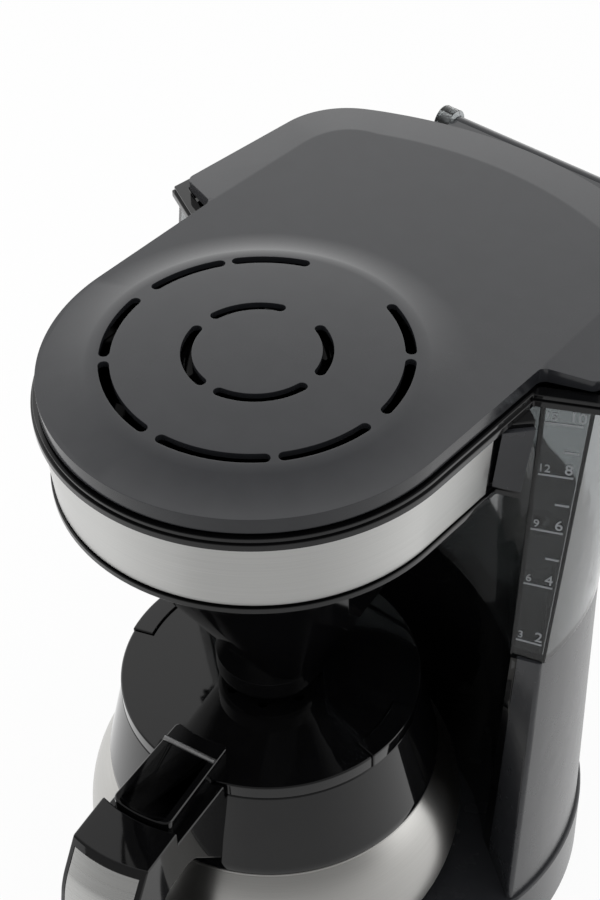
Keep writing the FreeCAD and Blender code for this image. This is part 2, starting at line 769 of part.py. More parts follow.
def valve_bottom():
    """Level of the lower end of the one-way valve."""
    return TANK_BOTTOM - SEAL_T - VALVE_H


def tank_hose():
    """Cold hose from the one-way valve to the heater."""
    return bent_hose(PORT_X, valve_bottom())


def riser_hose():
    """Hot hose from the heater to the riser tube."""
    return bent_hose(-PORT_X, TANK_BOTTOM - SPIGOT_L)


def hose_clamps():
    """Ring clamps on the four hose ends."""
    rings = []
    for x, top in ((PORT_X, valve_bottom()), (-PORT_X, TANK_BOTTOM - SPIGOT_L)):
        rings.append(tube(HOSE_R + CLAMP_T, HOSE_R, top - 2 * CLAMP_W, top - CLAMP_W, x, PORT_Y))
        y = HEATER_LEG_Y + CLAMP_W / 2
        outer = Part.makeCylinder(HOSE_R + CLAMP_T, CLAMP_W, V(x, y, WATER_Z), V(0, 1, 0))
        rings.append(outer.cut(Part.makeCylinder(HOSE_R, CLAMP_W, V(x, y, WATER_Z), V(0, 1, 0))))
    return Part.makeCompound(rings)


def check_valve_body():
    """One-way valve chamber under the tank, with a spigot into the hose."""
    low = valve_bottom()
    body = disc(VALVE_R, low, low + VALVE_H, PORT_X, PORT_Y)
    chamber = disc(VALVE_R - VALVE_WALL, low + 2 * VALVE_WALL, low + VALVE_H, PORT_X, PORT_Y)
    spigot = disc(HOSE_BORE_R - RUN, low - SPIGOT_L, low, PORT_X, PORT_Y)
    bore = disc(SPIGOT_BORE_R, low - SPIGOT_L, low + VALVE_H, PORT_X, PORT_Y)
    return joined([body.cut(chamber), spigot]).cut(bore)


def check_valve_ball():
    """Loose ball on the seat of the one-way valve."""
    drop = math.sqrt(BALL_R ** 2 - SPIGOT_BORE_R ** 2)
    return Part.makeSphere(BALL_R, V(PORT_X, PORT_Y, valve_bottom() + 2 * VALVE_WALL + drop + SEAT / 2))


def tank_outlet_seal():
    """Rubber ring between tank and one-way valve."""
    return tube(VALVE_R, VALVE_R - SEAL_RIM, TANK_BOTTOM - SEAL_T, TANK_BOTTOM, PORT_X, PORT_Y)


def riser_tube():
    """Pipe that carries hot water up through the tank."""
    top = GUIDE_BOTTOM - RISER_TOP_GAP
    pipe = disc(RISER_R, TANK_BOTTOM - SPIGOT_L + SEAT, top, -PORT_X, PORT_Y)
    floor = TANK_BOTTOM + TANK_WALL
    collar = disc(RISER_COLLAR_R, floor, floor + RISER_COLLAR_T, -PORT_X, PORT_Y)
    spigot = disc(HOSE_BORE_R - RUN, TANK_BOTTOM - 2 * SPIGOT_L, TANK_BOTTOM - SPIGOT_L + SEAT,
                  -PORT_X, PORT_Y)
    bore_low = disc(SPIGOT_BORE_R, TANK_BOTTOM - 2 * SPIGOT_L, top, -PORT_X, PORT_Y)
    bore = disc(RISER_BORE_R, TANK_BOTTOM, top, -PORT_X, PORT_Y)
    return joined([pipe, collar, spigot]).cut(bore_low).cut(bore)


# Column and tank


def recess_ring(inner, mid_y, z):
    """Circle on the rear face of the column's curved wall, from the wall's ends and its middle."""
    x, y = inner
    centre = (x * x + y * y - mid_y ** 2) / (2 * (y - mid_y))
    return Part.Wire(Part.makeCircle(mid_y - centre + WALL, V(0, centre, z)))


def recess_space():
    """Tapered space in front of the column, with the thickness of its curved wall."""
    foot = recess_ring(COLUMN_FOOT_IN, COLUMN_FOOT_MID_Y, BASE_TOP)
    top = recess_ring(COLUMN_TOP_IN, COLUMN_TOP_MID_Y, TANK_BOTTOM)
    return Part.makeLoft([foot, top], True, True)


def column_ring():
    """Whole wall of the column before it is parted."""
    foot = column_foot_wire(BASE_TOP)
    top = column_top_wire(TANK_BOTTOM)
    body = Part.makeLoft([foot, top], True, True)
    body = round_uprights(body, COLUMN_EDGE_R, lambda p: abs(p.x) > COLUMN_TOP_IN[0] + WALL)
    inside = [shrunk(foot, WALL, ROUND_JOIN), shrunk(top, WALL, ROUND_JOIN)]
    return body.cut(Part.makeLoft(inside, True, True))


def column_shell():
    """Grey outer shell of the column: angled front faces and a round rear."""
    return column_ring().cut(recess_space())


def recess_wall():
    """Black curved wall behind the jug."""
    return column_ring().common(recess_space())


def hinge_ear(side):
    """Ear on the tank's rear that carries one hinge pin."""
    x0 = EAR_X if side > 0 else -EAR_X - EAR_T
    behind = math.sqrt(FRAME_REAR_R ** 2 - EAR_X ** 2) + 2 * GAP
    wall = math.sqrt(TANK_TOP_REAR_R ** 2 - (EAR_X + EAR_T) ** 2) - EAR_SINK
    foot = FRAME_BOTTOM - EAR_FOOT
    rear = HINGE_Y + EAR_R
    below = FRAME_BOTTOM - GAP
    path = Part.Wire([
        line((x0, wall, foot), (x0, rear, foot + EAR_FOOT / 2)),
        line((x0, rear, foot + EAR_FOOT / 2), (x0, rear, HINGE_Z)),
        arc((x0, rear, HINGE_Z), (x0, HINGE_Y, HINGE_Z + EAR_R), (x0, HINGE_Y - EAR_R, HINGE_Z)),
        line((x0, HINGE_Y - EAR_R, HINGE_Z), (x0, behind, below)),
        line((x0, behind, below), (x0, wall, below)),
        line((x0, wall, below), (x0, wall, foot)),
    ])
    return Part.Face(path).extrude(V(EAR_T, 0, 0))


def pin_bore(radius, length, side):
    """Cylinder on the hinge axis, from the outside of an ear inwards."""
    start = side * (EAR_X + EAR_T)
    return Part.makeCylinder(radius, length, V(start, HINGE_Y, HINGE_Z), V(-side, 0, 0))


def water_tank():
    """Clear tank, open at the top, with outlets in its floor and hinge ears behind."""
    low, high = tank_wires()
    outside = Part.makeLoft([low, high], True, True)
    inner = [shrunk(low, TANK_WALL, ROUND_JOIN), shrunk(high, TANK_WALL, ROUND_JOIN)]
    inside = Part.makeLoft(inner, True, True)
    above_floor = disc(2 * TANK_TOP_REAR_R, TANK_BOTTOM + TANK_WALL, FRAME_BOTTOM)
    ears = [hinge_ear(1), hinge_ear(-1)]
    body = joined([outside] + ears).cut(inside.common(above_floor))
    body = body.cut(disc(SPIGOT_BORE_R, TANK_BOTTOM, TANK_BOTTOM + TANK_WALL, PORT_X, PORT_Y))
    body = body.cut(disc(RISER_R + RUN, TANK_BOTTOM, TANK_BOTTOM + TANK_WALL, -PORT_X, PORT_Y))
    for side in (1, -1):
        body = body.cut(pin_bore(HINGE_PIN_R, EAR_T, side))
    return body


def hinge_pins():
    """Two steel pins, held in the ears, on which the lid turns."""
    length = EAR_T + GAP + HINGE_PIN_IN
    return Part.makeCompound([pin_bore(HINGE_PIN_R, length, side) for side in (1, -1)])


# Filter head


def head_frame():
    """Black frame on top of tank and head: a raised lip round a low deck."""
    lip = prism(frame_wire(FRAME_BOTTOM), FRAME_LIP_H)
    lip = round_uprights(lip, FRAME_CORNER_R, lambda p: abs(p.x) > FRAME_R + FRAME_CORNER_R)
    well = prism(shrunk(frame_wire(FRAME_DECK), FRAME_LIP_W), FRAME_LIP_H)
    body = lip.cut(well)
    body = body.cut(disc(HEAD_BORE_R, FRAME_BOTTOM, FRAME_LIP))
    mouth = prism(shrunk(tank_wires()[1], TANK_WALL, ROUND_JOIN), FRAME_LIP_H)
    wide = FRAME_REAR_R
    mouth = mouth.cut(block(-wide, wide, -wide, MOUTH_FRONT_Y, FRAME_BOTTOM, FRAME_LIP))
    reach = EAR_X + EAR_T + GAP
    start = V(-reach, HINGE_Y, HINGE_Z)
    pocket = Part.makeCylinder(HINGE_R + HINGE_CLEAR, 2 * reach, start, V(1, 0, 0))
    return body.cut(mouth).cut(pocket)


def head_housing():
    """Black housing of the filter head, with a ledge for the basket and a lip under the band."""
    low = head_wire(HEAD_R_BOTTOM, HEAD_FLARE_LOW, BAND_BOTTOM)
    high = head_wire(HEAD_R_TOP, HEAD_FLARE_TOP, FRAME_BOTTOM)
    body = Part.makeLoft([low, high], True, True)
    lip = prism(head_wire(HEAD_R_BOTTOM + HEAD_LIP, HEAD_FLARE_LOW, BAND_BOTTOM - HEAD_LIP_H), HEAD_LIP_H)
    body = joined([body, lip])
    body = body.cut(disc(HEAD_BORE_R, LEDGE_TOP, FRAME_BOTTOM))
    body = body.cut(disc(BASKET_R + GAP, BAND_BOTTOM - HEAD_LIP_H, LEDGE_TOP))
    return body.cut(Part.makeLoft(list(tank_wires()), True, True))


def band_wire(grow, z):
    """Plan of the steel band at one level."""
    share = (z - BAND_BOTTOM) / (FRAME_BOTTOM - BAND_BOTTOM)
    front_r = HEAD_R_BOTTOM + share * (HEAD_R_TOP - HEAD_R_BOTTOM) + grow
    return Part.Wire([
        line((front_r, 0, z), (front_r, BAND_END_Y, z)),
        line((front_r, BAND_END_Y, z), (-front_r, BAND_END_Y, z)),
        line((-front_r, BAND_END_Y, z), (-front_r, 0, z)),
        arc((-front_r, 0, z), (0, -front_r, z), (front_r, 0, z)),
    ])


def steel_band():
    """Brushed steel band round the front and sides of the head."""
    skins = []
    for grow in (BAND_T, 0.0):
        wires = [band_wire(grow, BAND_BOTTOM), band_wire(grow, FRAME_BOTTOM)]
        skins.append(Part.makeLoft(wires, True, True))
    return skins[0].cut(skins[1])


def panel_wire(side, z):
    """Section of a side panel at one level, from the head's flared wall to its outer face."""
    share = (z - BAND_BOTTOM) / (FRAME_BOTTOM - BAND_BOTTOM)
    start = (HEAD_R_BOTTOM + share * (HEAD_R_TOP - HEAD_R_BOTTOM), HEAD_SIDE_Y)
    end = [low + share * (high - low) for low, high in zip(HEAD_FLARE_LOW, HEAD_FLARE_TOP)]
    way = (end[0] - start[0], end[1] - start[1])
    run = math.hypot(*way)
    out = (PANEL_T * way[1] / run, -PANEL_T * way[0] / run)
    corners = [start, (start[0] + out[0], start[1] + out[1]), (end[0] + out[0], end[1] + out[1]), end]
    points = [V(side * x, y, z) for x, y in corners]
    return Part.makePolygon(points + points[:1])


def side_panel(side):
    """Grey panel on the flared side of the head, between the band and the tank."""
    wires = [panel_wire(side, BAND_BOTTOM + PANEL_MARGIN), panel_wire(side, FRAME_BOTTOM - PANEL_MARGIN)]
    plate = Part.makeLoft(wires, True, True)
    return plate.cut(Part.makeLoft(list(tank_wires()), True, True)).cut(steel_band())


# Lid


def ring_slot(radius, start, end):
    """Curved slot with round ends; angles in degrees from the rear, towards +X."""
    z0 = LID_SKIRT
    z1 = LID_TOP + CAP_H + CAP_CROWN + LID_WALL
    half = SLOT_W / 2
    ring = Part.makeCylinder(radius + half, z1 - z0, V(0, 0, z0), UP, end - start)
    ring = ring.cut(disc(radius - half, z0, z1))
    ring.rotate(V(0, 0, 0), UP, 90 - end)
    ends = []
    for angle in (start, end):
        a = math.radians(90 - angle)
        ends.append(disc(half, z0, z1, radius * math.cos(a), radius * math.sin(a)))
    return joined([ring] + ends)


def cap_solid(drop):
    """Raised cap over the filter, lowered by a wall for its inside."""
    base = LID_SKIRT
    edge = LID_TOP + CAP_H - drop
    crown = edge + CAP_CROWN
    half_r = CAP_EDGE_R / 2
    dome_r = (CAP_EDGE_R ** 2 + CAP_CROWN ** 2) / (2 * CAP_CROWN)
    half_z = crown - dome_r + math.sqrt(dome_r ** 2 - half_r ** 2)
    path = Part.Wire([
        line((0, 0, base), (CAP_FOOT_R - drop, 0, base)),
        line((CAP_FOOT_R - drop, 0, base), (CAP_FOOT_R - drop, 0, LID_TOP - drop)),
        line((CAP_FOOT_R - drop, 0, LID_TOP - drop), (CAP_EDGE_R, 0, edge)),
        arc((CAP_EDGE_R, 0, edge), (half_r, 0, half_z), (0, 0, crown)),
        line((0, 0, crown), (0, 0, base)),
    ])
    return Part.Face(path).revolve(V(0, 0, 0), UP, 360)


def bevel_wedge(drop):
    """What the rear slope takes off the lid."""
    far = HINGE_Y + HINGE_R
    fall = BEVEL_DROP / (LID_REAR_R - BEVEL_R)
    top = LID_TOP + CAP_H
    wedge = turned([(BEVEL_R, LID_TOP - drop), (far, LID_TOP - drop - fall * (far - BEVEL_R)),
                    (far, top), (BEVEL_R, top)])
    return wedge.cut(block(-far, far, -far, 0, LID_SKIRT - LID_TOP, top))


def lid_block(wire, drop):
    """Lid body below its skin: flat top, cap and rear slope."""
    body = prism(wire, LID_SKIRT_H - drop)
    return joined([body, cap_solid(drop)]).cut(bevel_wedge(drop))


def lid_cover():
    """Lid with its vented cap and the hinge barrel behind."""
    outside = prism(lid_wire(LID_SKIRT), LID_SKIRT_H)
    outside = round_uprights(outside, LID_CORNER_R, lambda p: 0 < p.y < LID_OUTER_Y + LID_CORNER_R)
    outside = round_uprights(outside, LID_REAR_CORNER_R, lambda p: p.y > LID_OUTER_Y + LID_CORNER_R)
    outside = joined([outside, cap_solid(0.0)]).cut(bevel_wedge(0.0))
    body = outside.cut(lid_block(shrunk(lid_wire(LID_SKIRT), LID_WALL), LID_WALL))
    for radius, spans in ((OUTER_SLOT_R, OUTER_SLOTS), (INNER_SLOT_R, INNER_SLOTS)):
        for start, end in spans:
            slot = ring_slot(radius, start, end)
            body = body.cut(slot).cut(slot.mirror(V(0, 0, 0), V(1, 0, 0)))
    barrel = Part.makeCylinder(HINGE_R, 2 * HINGE_HALF, V(-HINGE_HALF, HINGE_Y, HINGE_Z), V(1, 0, 0))
    low = LID_SKIRT
    slope_end = LID_TOP - BEVEL_DROP
    strap = block(-HINGE_HALF, HINGE_HALF, LID_REAR_R - STRAP_IN, HINGE_Y, low, slope_end)
    body = joined([body, strap, barrel])
    for side in (1, -1):
        body = body.cut(pin_bore(HINGE_PIN_R + RUN, EAR_T + GAP + HINGE_PIN_IN + GAP, side))
    return body


def guide_bar(width, z0, z1):
    """Straight bar from over the riser to the brew axis."""
    run = math.hypot(PORT_X, PORT_Y)
    bar = block(-width / 2, width / 2, 0, run, z0, z1)
    bar = joined([bar, disc(width / 2, z0, z1, 0, run)])
    bar.rotate(V(0, 0, 0), UP, math.degrees(math.atan2(PORT_X, PORT_Y)))
    return bar


def water_guide():
    """Covered channel under the lid that leads hot water over the filter."""
    top = LID_UNDER
    inner = GUIDE_W - 2 * GUIDE_WALL
    shell = joined([guide_bar(GUIDE_W, GUIDE_BOTTOM, top), disc(GUIDE_CUP_R, GUIDE_BOTTOM, top)])
    space = joined([guide_bar(inner, GUIDE_BOTTOM + GUIDE_WALL, top),
                    disc(GUIDE_CUP_R - GUIDE_WALL, GUIDE_BOTTOM, top)])
    mouth = disc(RISER_R, GUIDE_BOTTOM, top, -PORT_X, PORT_Y)
    return shell.cut(space).cut(mouth)


def spray_plate():
    """Perforated plate under the cup of the water guide."""
    low = GUIDE_BOTTOM - SPRAY_T
    plate = disc(GUIDE_CUP_R, low, GUIDE_BOTTOM)
    for radius, count in SPRAY_RINGS:
        for i in range(count):
            a = 2 * math.pi * i / count
            x = radius * math.cos(a)
            y = radius * math.sin(a)
            plate = plate.cut(disc(SPRAY_HOLE_R, low, GUIDE_BOTTOM, x, y))
    return plate


# Filter basket and drip stop


def wedge_solid(inset):
    """Filter wedge: a round top and a long narrow seam below, moved inwards by an inset."""
    r = BASKET_R - inset
    w = WEDGE_HALF_W - inset
    l = WEDGE_HALF_L - WEDGE_HALF_W
    low = WEDGE_BOTTOM
    flat = math.radians(BASKET_FLAT)
    x = r * math.sin(flat)
    y = r * math.cos(flat)
    top = Part.Wire([
        arc((-x, -y, WEDGE_TOP), (0, -r, WEDGE_TOP), (x, -y, WEDGE_TOP)),
        arc((x, -y, WEDGE_TOP), (r, 0, WEDGE_TOP), (x, y, WEDGE_TOP)),
        arc((x, y, WEDGE_TOP), (0, r, WEDGE_TOP), (-x, y, WEDGE_TOP)),
        arc((-x, y, WEDGE_TOP), (-r, 0, WEDGE_TOP), (-x, -y, WEDGE_TOP)),
    ])
    seam = Part.Wire([
        line((-l, -w, low), (l, -w, low)),
        arc((l, -w, low), (l + w, 0, low), (l, w, low)),
        line((l, w, low), (-l, w, low)),
        arc((-l, w, low), (-l - w, 0, low), (-l, -w, low)),
    ])
    return Part.makeLoft([seam, top], True, True)


def filter_basket():
    """Filter wedge with a rim on the ledge, a round nozzle below and a bridge over the drip stop."""
    rim_z = LEDGE_TOP + SEAT
    top = rim_z + BASKET_RIM_T
    floor = NOZZLE_BOTTOM + NOZZLE_FLOOR
    t = BASKET_T
    nozzle = disc(NOZZLE_R, NOZZLE_BOTTOM, WEDGE_BOTTOM + t)
    lower_edge = [e for e in nozzle.Edges if all(abs(v.Z - NOZZLE_BOTTOM) < TOUCH for v in e.Vertexes)]
    nozzle = nozzle.makeFillet(NOZZLE_EDGE_R, lower_edge)
    rim = disc(HEAD_BORE_R - GAP, rim_z, top)
    outside = joined([nozzle, wedge_solid(0.0), disc(BASKET_R, WEDGE_TOP, top), rim])
    bowl = disc(NOZZLE_R - NOZZLE_T, floor, WEDGE_BOTTOM)
    inside = joined([bowl, wedge_solid(t), disc(BASKET_R - t, WEDGE_TOP, top)])
    body = outside.cut(inside).cut(disc(DRIP_HOLE_R, NOZZLE_BOTTOM, floor))
    z = spider_level()
    bridge = block(-SPIDER_W / 2, SPIDER_W / 2, -BASKET_R, BASKET_R, z, z + SPIDER_T).common(outside)
    hub = disc(DRIP_STEM_R + SPIDER_W / 2, z, z + SPIDER_T)
    body = joined([body, bridge, hub])
    return body.cut(disc(DRIP_STEM_R + GAP, z, z + SPIDER_T))


def spider_level():
    """Level of the underside of the bridge in the nozzle."""
    return DRIP_DISC + DRIP_DISC_T + DRIP_SPRING_H


def drip_plunger():
    """Plunger that the jug lid pushes up to open the nozzle."""
    stem = disc(DRIP_STEM_R, DRIP_TIP, spider_level() + SPIDER_T + STEM_OVER)
    return joined([stem, disc(DRIP_DISC_R, DRIP_DISC, DRIP_DISC + DRIP_DISC_T)])


def drip_seal():
    """Rubber washer under the plunger's disc."""
    return tube(DRIP_DISC_R, DRIP_STEM_R, DRIP_DISC - DRIP_SEAL_T, DRIP_DISC)


def drip_spring():
    """Closing spring, drawn as the sleeve that its turns fill."""
    bore = DRIP_STEM_R + GAP
    return tube(bore + DRIP_SPRING_T, bore, DRIP_DISC + DRIP_DISC_T, spider_level())


# Jug, modelled with its handle straight ahead and then turned


def shell_profile(grow):
    """Steel wall of the jug: a bulged arc between base cap and collar, grown outwards."""
    low = (SHELL_FOOT_R + grow, 0, JUG_FOOT + CAP_RING_H)
    mid = (SHELL_BELLY_R + grow, 0, SHELL_BELLY_Z)
    high = (COLLAR_BOTTOM_R - COLLAR_T / 2 + grow, 0, COLLAR_BOTTOM_Z)
    path = Part.Wire([
        arc(low, mid, high),
        line(high, (0, 0, high[2])),
        line((0, 0, high[2]), (0, 0, low[2])),
        line((0, 0, low[2]), low),
    ])
    return Part.Face(path).revolve(V(0, 0, 0), UP, 360)


def jug_shell():
    """Outer steel shell of the jug."""
    return shell_profile(0.0).cut(shell_profile(-SHELL_T))


def jug_base_cap():
    """Plastic cap that closes the jug below."""
    lip = SHELL_FOOT_R - SHELL_T - SEAT
    level = JUG_FOOT + CAP_RING_H
    return turned([(0, JUG_FOOT), (SHELL_FOOT_R - WALL, JUG_FOOT), (SHELL_FOOT_R, JUG_FOOT + WALL),
                   (SHELL_FOOT_R, level), (lip - WALL, level), (lip - 2 * WALL, JUG_FOOT + WALL),
                   (0, JUG_FOOT + WALL)])


def flask_solid(grow):
    """Inner flask: belly under the collar and a straight neck."""
    low = (SHELL_FOOT_R - FLASK_GAP + grow, 0, JUG_FOOT + CAP_RING_H + FLASK_GAP - grow)
    mid = (SHELL_BELLY_R - FLASK_GAP + grow, 0, SHELL_BELLY_Z)
    high = (COLLAR_BOTTOM_R - COLLAR_T - FLASK_GAP + grow, 0, COLLAR_BOTTOM_Z)
    neck = (NECK_R + grow, 0, COLLAR_BOTTOM_Z + FLASK_GAP)
    top = COLLAR_TOP - NECK_TOP_GAP
    path = Part.Wire([
        arc(low, mid, high),
        line(high, neck),
        line(neck, (neck[0], 0, top)),
        line((neck[0], 0, top), (0, 0, top)),
        line((0, 0, top), (0, 0, low[2])),
        line((0, 0, low[2]), low),
    ])
    return Part.Face(path).revolve(V(0, 0, 0), UP, 360)


def jug_flask():
    """Inner steel flask, open at the neck."""
    return flask_solid(0.0).cut(flask_solid(-SHELL_T))


def collar_solid():
    """Outside of the collar as a full body."""
    return turned([(0, COLLAR_BOTTOM_Z), (COLLAR_BOTTOM_R, COLLAR_BOTTOM_Z),
                   (COLLAR_BOTTOM_R, COLLAR_BOTTOM_Z + COLLAR_T), (JUG_LID_R, COLLAR_TOP),
                   (0, COLLAR_TOP)])


def jug_collar():
    """Black collar that joins shell and flask and carries the handle."""
    neck = NECK_R + RUN
    foot = COLLAR_BOTTOM_R - COLLAR_T - FLASK_GAP / 2
    inside = turned([(0, COLLAR_BOTTOM_Z), (foot, COLLAR_BOTTOM_Z), (foot, COLLAR_BOTTOM_Z + COLLAR_T),
                     (JUG_LID_R - 2 * COLLAR_T, COLLAR_TOP - COLLAR_T), (neck, COLLAR_TOP - COLLAR_T),
                     (neck, COLLAR_TOP), (0, COLLAR_TOP)])
    spout = block(-SPOUT_HALF, SPOUT_HALF, 0, JUG_LID_R + SPOUT_REACH, COLLAR_BOTTOM_Z, COLLAR_TOP)
    flare = turned([(0, COLLAR_BOTTOM_Z), (COLLAR_BOTTOM_R, COLLAR_BOTTOM_Z),
                    (JUG_LID_R + SPOUT_REACH, COLLAR_TOP), (0, COLLAR_TOP)])
    body = joined([collar_solid(), spout.common(flare)]).cut(inside)
    return body.cut(screw_bar(HANDLE_SCREW_R, 0, HANDLE_SCREW_L)).cut(screw_seat())


def handle_profile():
    """Side view of the handle as a closed wire in the plane x = 0."""
    edge_r, edge_z = HANDLE_EDGE
    back_r, back_z = HANDLE_BACK
    low_r, low_z = HANDLE_LOW
    t = HANDLE_THICK
    root = COLLAR_BOTTOM_R - COLLAR_T
    foot = SHELL_FOOT_R - FLASK_GAP
    corner = HANDLE_CORNER_R
    return side_path([
        (root, HANDLE_TOP, 0), (HANDLE_RISE_R, HANDLE_TOP, corner), (edge_r, edge_z, HANDLE_LIP_R),
        (back_r, back_z, HANDLE_BEND_R), (HANDLE_REACH, HANDLE_REACH_Z, HANDLE_BOW_R),
        (low_r, low_z, HANDLE_BEND_R), (low_r - t, HANDLE_FOOT_Z, corner), (foot, HANDLE_FOOT_Z, 0),
        (foot, HANDLE_FOOT_Z + t, 0), (low_r - t, low_z, corner),
        (HANDLE_REACH - t, HANDLE_REACH_Z, HANDLE_BOW_R - t), (back_r - t, back_z - t / 2, corner),
        (COLLAR_BOTTOM_R + t, HANDLE_TOP - t, corner), (root, HANDLE_ROOT_Z, 0),
    ])


def handle_taper(inset):
    """Upright wedge that gives the handle its width, narrow at the jug."""
    z0 = JUG_FOOT
    far = HANDLE_REACH + WALL
    corners = [(0, HANDLE_HALF_IN - inset), (far, HANDLE_HALF_OUT - inset)]
    points = [V(w, -r, z0) for r, w in corners] + [V(-w, -r, z0) for r, w in reversed(corners)]
    return prism(Part.makePolygon(points + points[:1]), HANDLE_EDGE[1] + WALL - z0)


def handle_body():
    """Handle before its inlay recess and screw hole are cut."""
    half = HANDLE_HALF_OUT + WALL
    bar = Part.Face(handle_profile()).extrude(V(2 * half, 0, 0))
    bar.translate(V(-half, 0, 0))
    bar = bar.common(handle_taper(0.0))
    bar = bar.cut(collar_solid()).cut(shell_profile(0.0))
    return bar.cut(disc(JUG_LID_R + GRIP_GAP, COLLAR_TOP, HANDLE_TOP))


def inlay_solid():
    """Steel strip let into the outer face of the handle."""
    edge_r, edge_z = HANDLE_EDGE
    low_z = HANDLE_LOW[1]
    half = HANDLE_HALF_OUT + WALL
    skin = Part.Face(handle_profile()).extrude(V(2 * half, 0, 0))
    skin.translate(V(-half, 0, 0))
    core = skin.copy()
    core.translate(V(0, INLAY_T, 0))
    back_r, back_z = HANDLE_BACK
    run = math.hypot(back_r - edge_r, edge_z - back_z)
    top = edge_z - INLAY_MARGIN * (edge_z - back_z) / run
    window = block(-half, half, -HANDLE_REACH - WALL, -edge_r, low_z, top)
    return skin.cut(core).common(window).common(handle_taper(INLAY_MARGIN))


def screw_bar(radius, start, length):
    """Cylinder on the axis of the handle screw, from the back of its head outwards."""
    inside = COLLAR_BOTTOM_R - COLLAR_T - FLASK_GAP / 2
    outside = JUG_LID_R - 2 * COLLAR_T
    share = (HANDLE_SCREW_Z - COLLAR_BOTTOM_Z - COLLAR_T) / (COLLAR_TOP - COLLAR_BOTTOM_Z - 2 * COLLAR_T)
    reach = inside + share * (outside - inside)
    return Part.makeCylinder(radius, length, V(0, -reach - start, HANDLE_SCREW_Z), V(0, -1, 0))


def screw_seat():
    """Flat seat for the head of the handle screw, in the inside of the collar."""
    return screw_bar(HANDLE_SCREW_HEAD_R + RUN, -HANDLE_SCREW_HEAD_H, 2 * HANDLE_SCREW_HEAD_H)


def handle_screw():
    """Screw from inside the collar into the handle."""
    head = screw_bar(HANDLE_SCREW_HEAD_R, 0, HANDLE_SCREW_HEAD_H)
    return joined([head, screw_bar(HANDLE_SCREW_R, 0, HANDLE_SCREW_L)])


def jug_handle():
    """Black handle of the jug."""
    return handle_body().cut(inlay_solid()).cut(screw_bar(HANDLE_SCREW_R, 0, HANDLE_SCREW_L))


def handle_inlay():
    """Brushed steel strip on the handle."""
    return inlay_solid()


def jug_lid():
    """Jug lid with a plug in the neck, brew holes, a boss for the drip stop and the lever tongue."""
    top = JUG_LID_Z
    skirt = top - JUG_LID_SKIRT
    plug_r = NECK_R - SHELL_T - PLUG_GAP
    under = top - JUG_LID_T
    outside = turned([(0, PLUG_BOTTOM), (plug_r, PLUG_BOTTOM), (plug_r, skirt), (JUG_LID_R, skirt),
                      (JUG_LID_R, top), (BOSS_FOOT_R, top), (BOSS_TOP_R, top + BOSS_H), (0, top + BOSS_H)])
    inside = turned([(0, PLUG_BOTTOM + PLUG_T), (plug_r - PLUG_T, PLUG_BOTTOM + PLUG_T),
                     (plug_r - PLUG_T, under), (0, under)])
    body = outside.cut(inside)
    port = tube(PLUG_PORT_R, POUR_STEM_R + PLUG_T, PLUG_BOTTOM, PLUG_BOTTOM + PLUG_T)
    arm = plug_r
    ribs = joined([block(-arm, arm, -PLUG_T, PLUG_T, PLUG_BOTTOM, PLUG_BOTTOM + PLUG_T),
                   block(-PLUG_T, PLUG_T, -arm, arm, PLUG_BOTTOM, PLUG_BOTTOM + PLUG_T)])
    body = body.cut(port.cut(ribs))
    body = body.cut(disc(POUR_STEM_R + GAP, PLUG_BOTTOM, PLUG_BOTTOM + PLUG_T))
    for i in range(BREW_HOLES):
        a = 2 * math.pi * (i + 0.5) / BREW_HOLES
        r = BREW_HOLE_PCD / 2
        body = body.cut(disc(BREW_HOLE_R, under, top, r * math.cos(a), r * math.sin(a)))
    body = body.cut(grip_solids())
    body = joined([body, tongue_solid()])
    return body.cut(lever_pin_solid(LEVER_PIN_R))


def grip_solids():
    """Two grips let into the lid's rim, left and right of the handle."""
    inner = JUG_LID_R - GRIP_W
    grips = []
    for middle in GRIP_BEARINGS:
        piece = Part.makeCylinder(JUG_LID_R, GRIP_H, V(0, 0, JUG_LID_Z - GRIP_H), UP, GRIP_ARC)
        piece = piece.cut(disc(inner, JUG_LID_Z - GRIP_H, JUG_LID_Z))
        piece.rotate(V(0, 0, 0), UP, middle - GRIP_ARC / 2)
        grips.append(piece)
    return Part.makeCompound(grips)


def lid_grips():
    """Finger grips on the rim of the jug lid."""
    return grip_solids()


def tongue_plan(inset, z):
    """Plan of the tongue over the handle, moved inwards by an inset."""
    points = [V(TONGUE_HALF_IN - inset, -TONGUE_IN - inset, z),
              V(TONGUE_HALF_OUT - inset, -TONGUE_OUT + inset, z)]
    points += [V(-p.x, p.y, z) for p in reversed(points)]
    return Part.makePolygon(points + points[:1])


def above_slope(sink):
    """Space over the sloped top of the tongue, lowered by a depth."""
    half = HANDLE_HALF_OUT
    high = JUG_LID_Z + TONGUE_TOP_IN - sink
    low = JUG_LID_Z + TONGUE_TOP_OUT - sink
    ceiling = JUG_LID_Z + 2 * TONGUE_TOP_IN
    points = [V(-half, -TONGUE_IN + half, high + half * (high - low) / (TONGUE_OUT - TONGUE_IN)),
              V(-half, -TONGUE_OUT - half, low - half * (high - low) / (TONGUE_OUT - TONGUE_IN)),
              V(-half, -TONGUE_OUT - half, ceiling), V(-half, -TONGUE_IN + half, ceiling)]
    return Part.Face(Part.makePolygon(points + points[:1])).extrude(V(2 * half, 0, 0))


def tongue_solid():
    """Raised frame over the handle that holds the thumb lever."""
    high = TONGUE_TOP_IN
    body = prism(tongue_plan(0.0, TONGUE_BOTTOM), high)
    foot = prism(tongue_plan(0.0, JUG_LID_Z), TONGUE_BOTTOM - JUG_LID_Z)
    foot = foot.common(disc(JUG_LID_R, 0, TONGUE_BOTTOM))
    body = joined([body, foot]).cut(above_slope(0.0))
    return body.cut(prism(tongue_plan(TONGUE_RIM, TONGUE_BOTTOM + TONGUE_FLOOR), high))


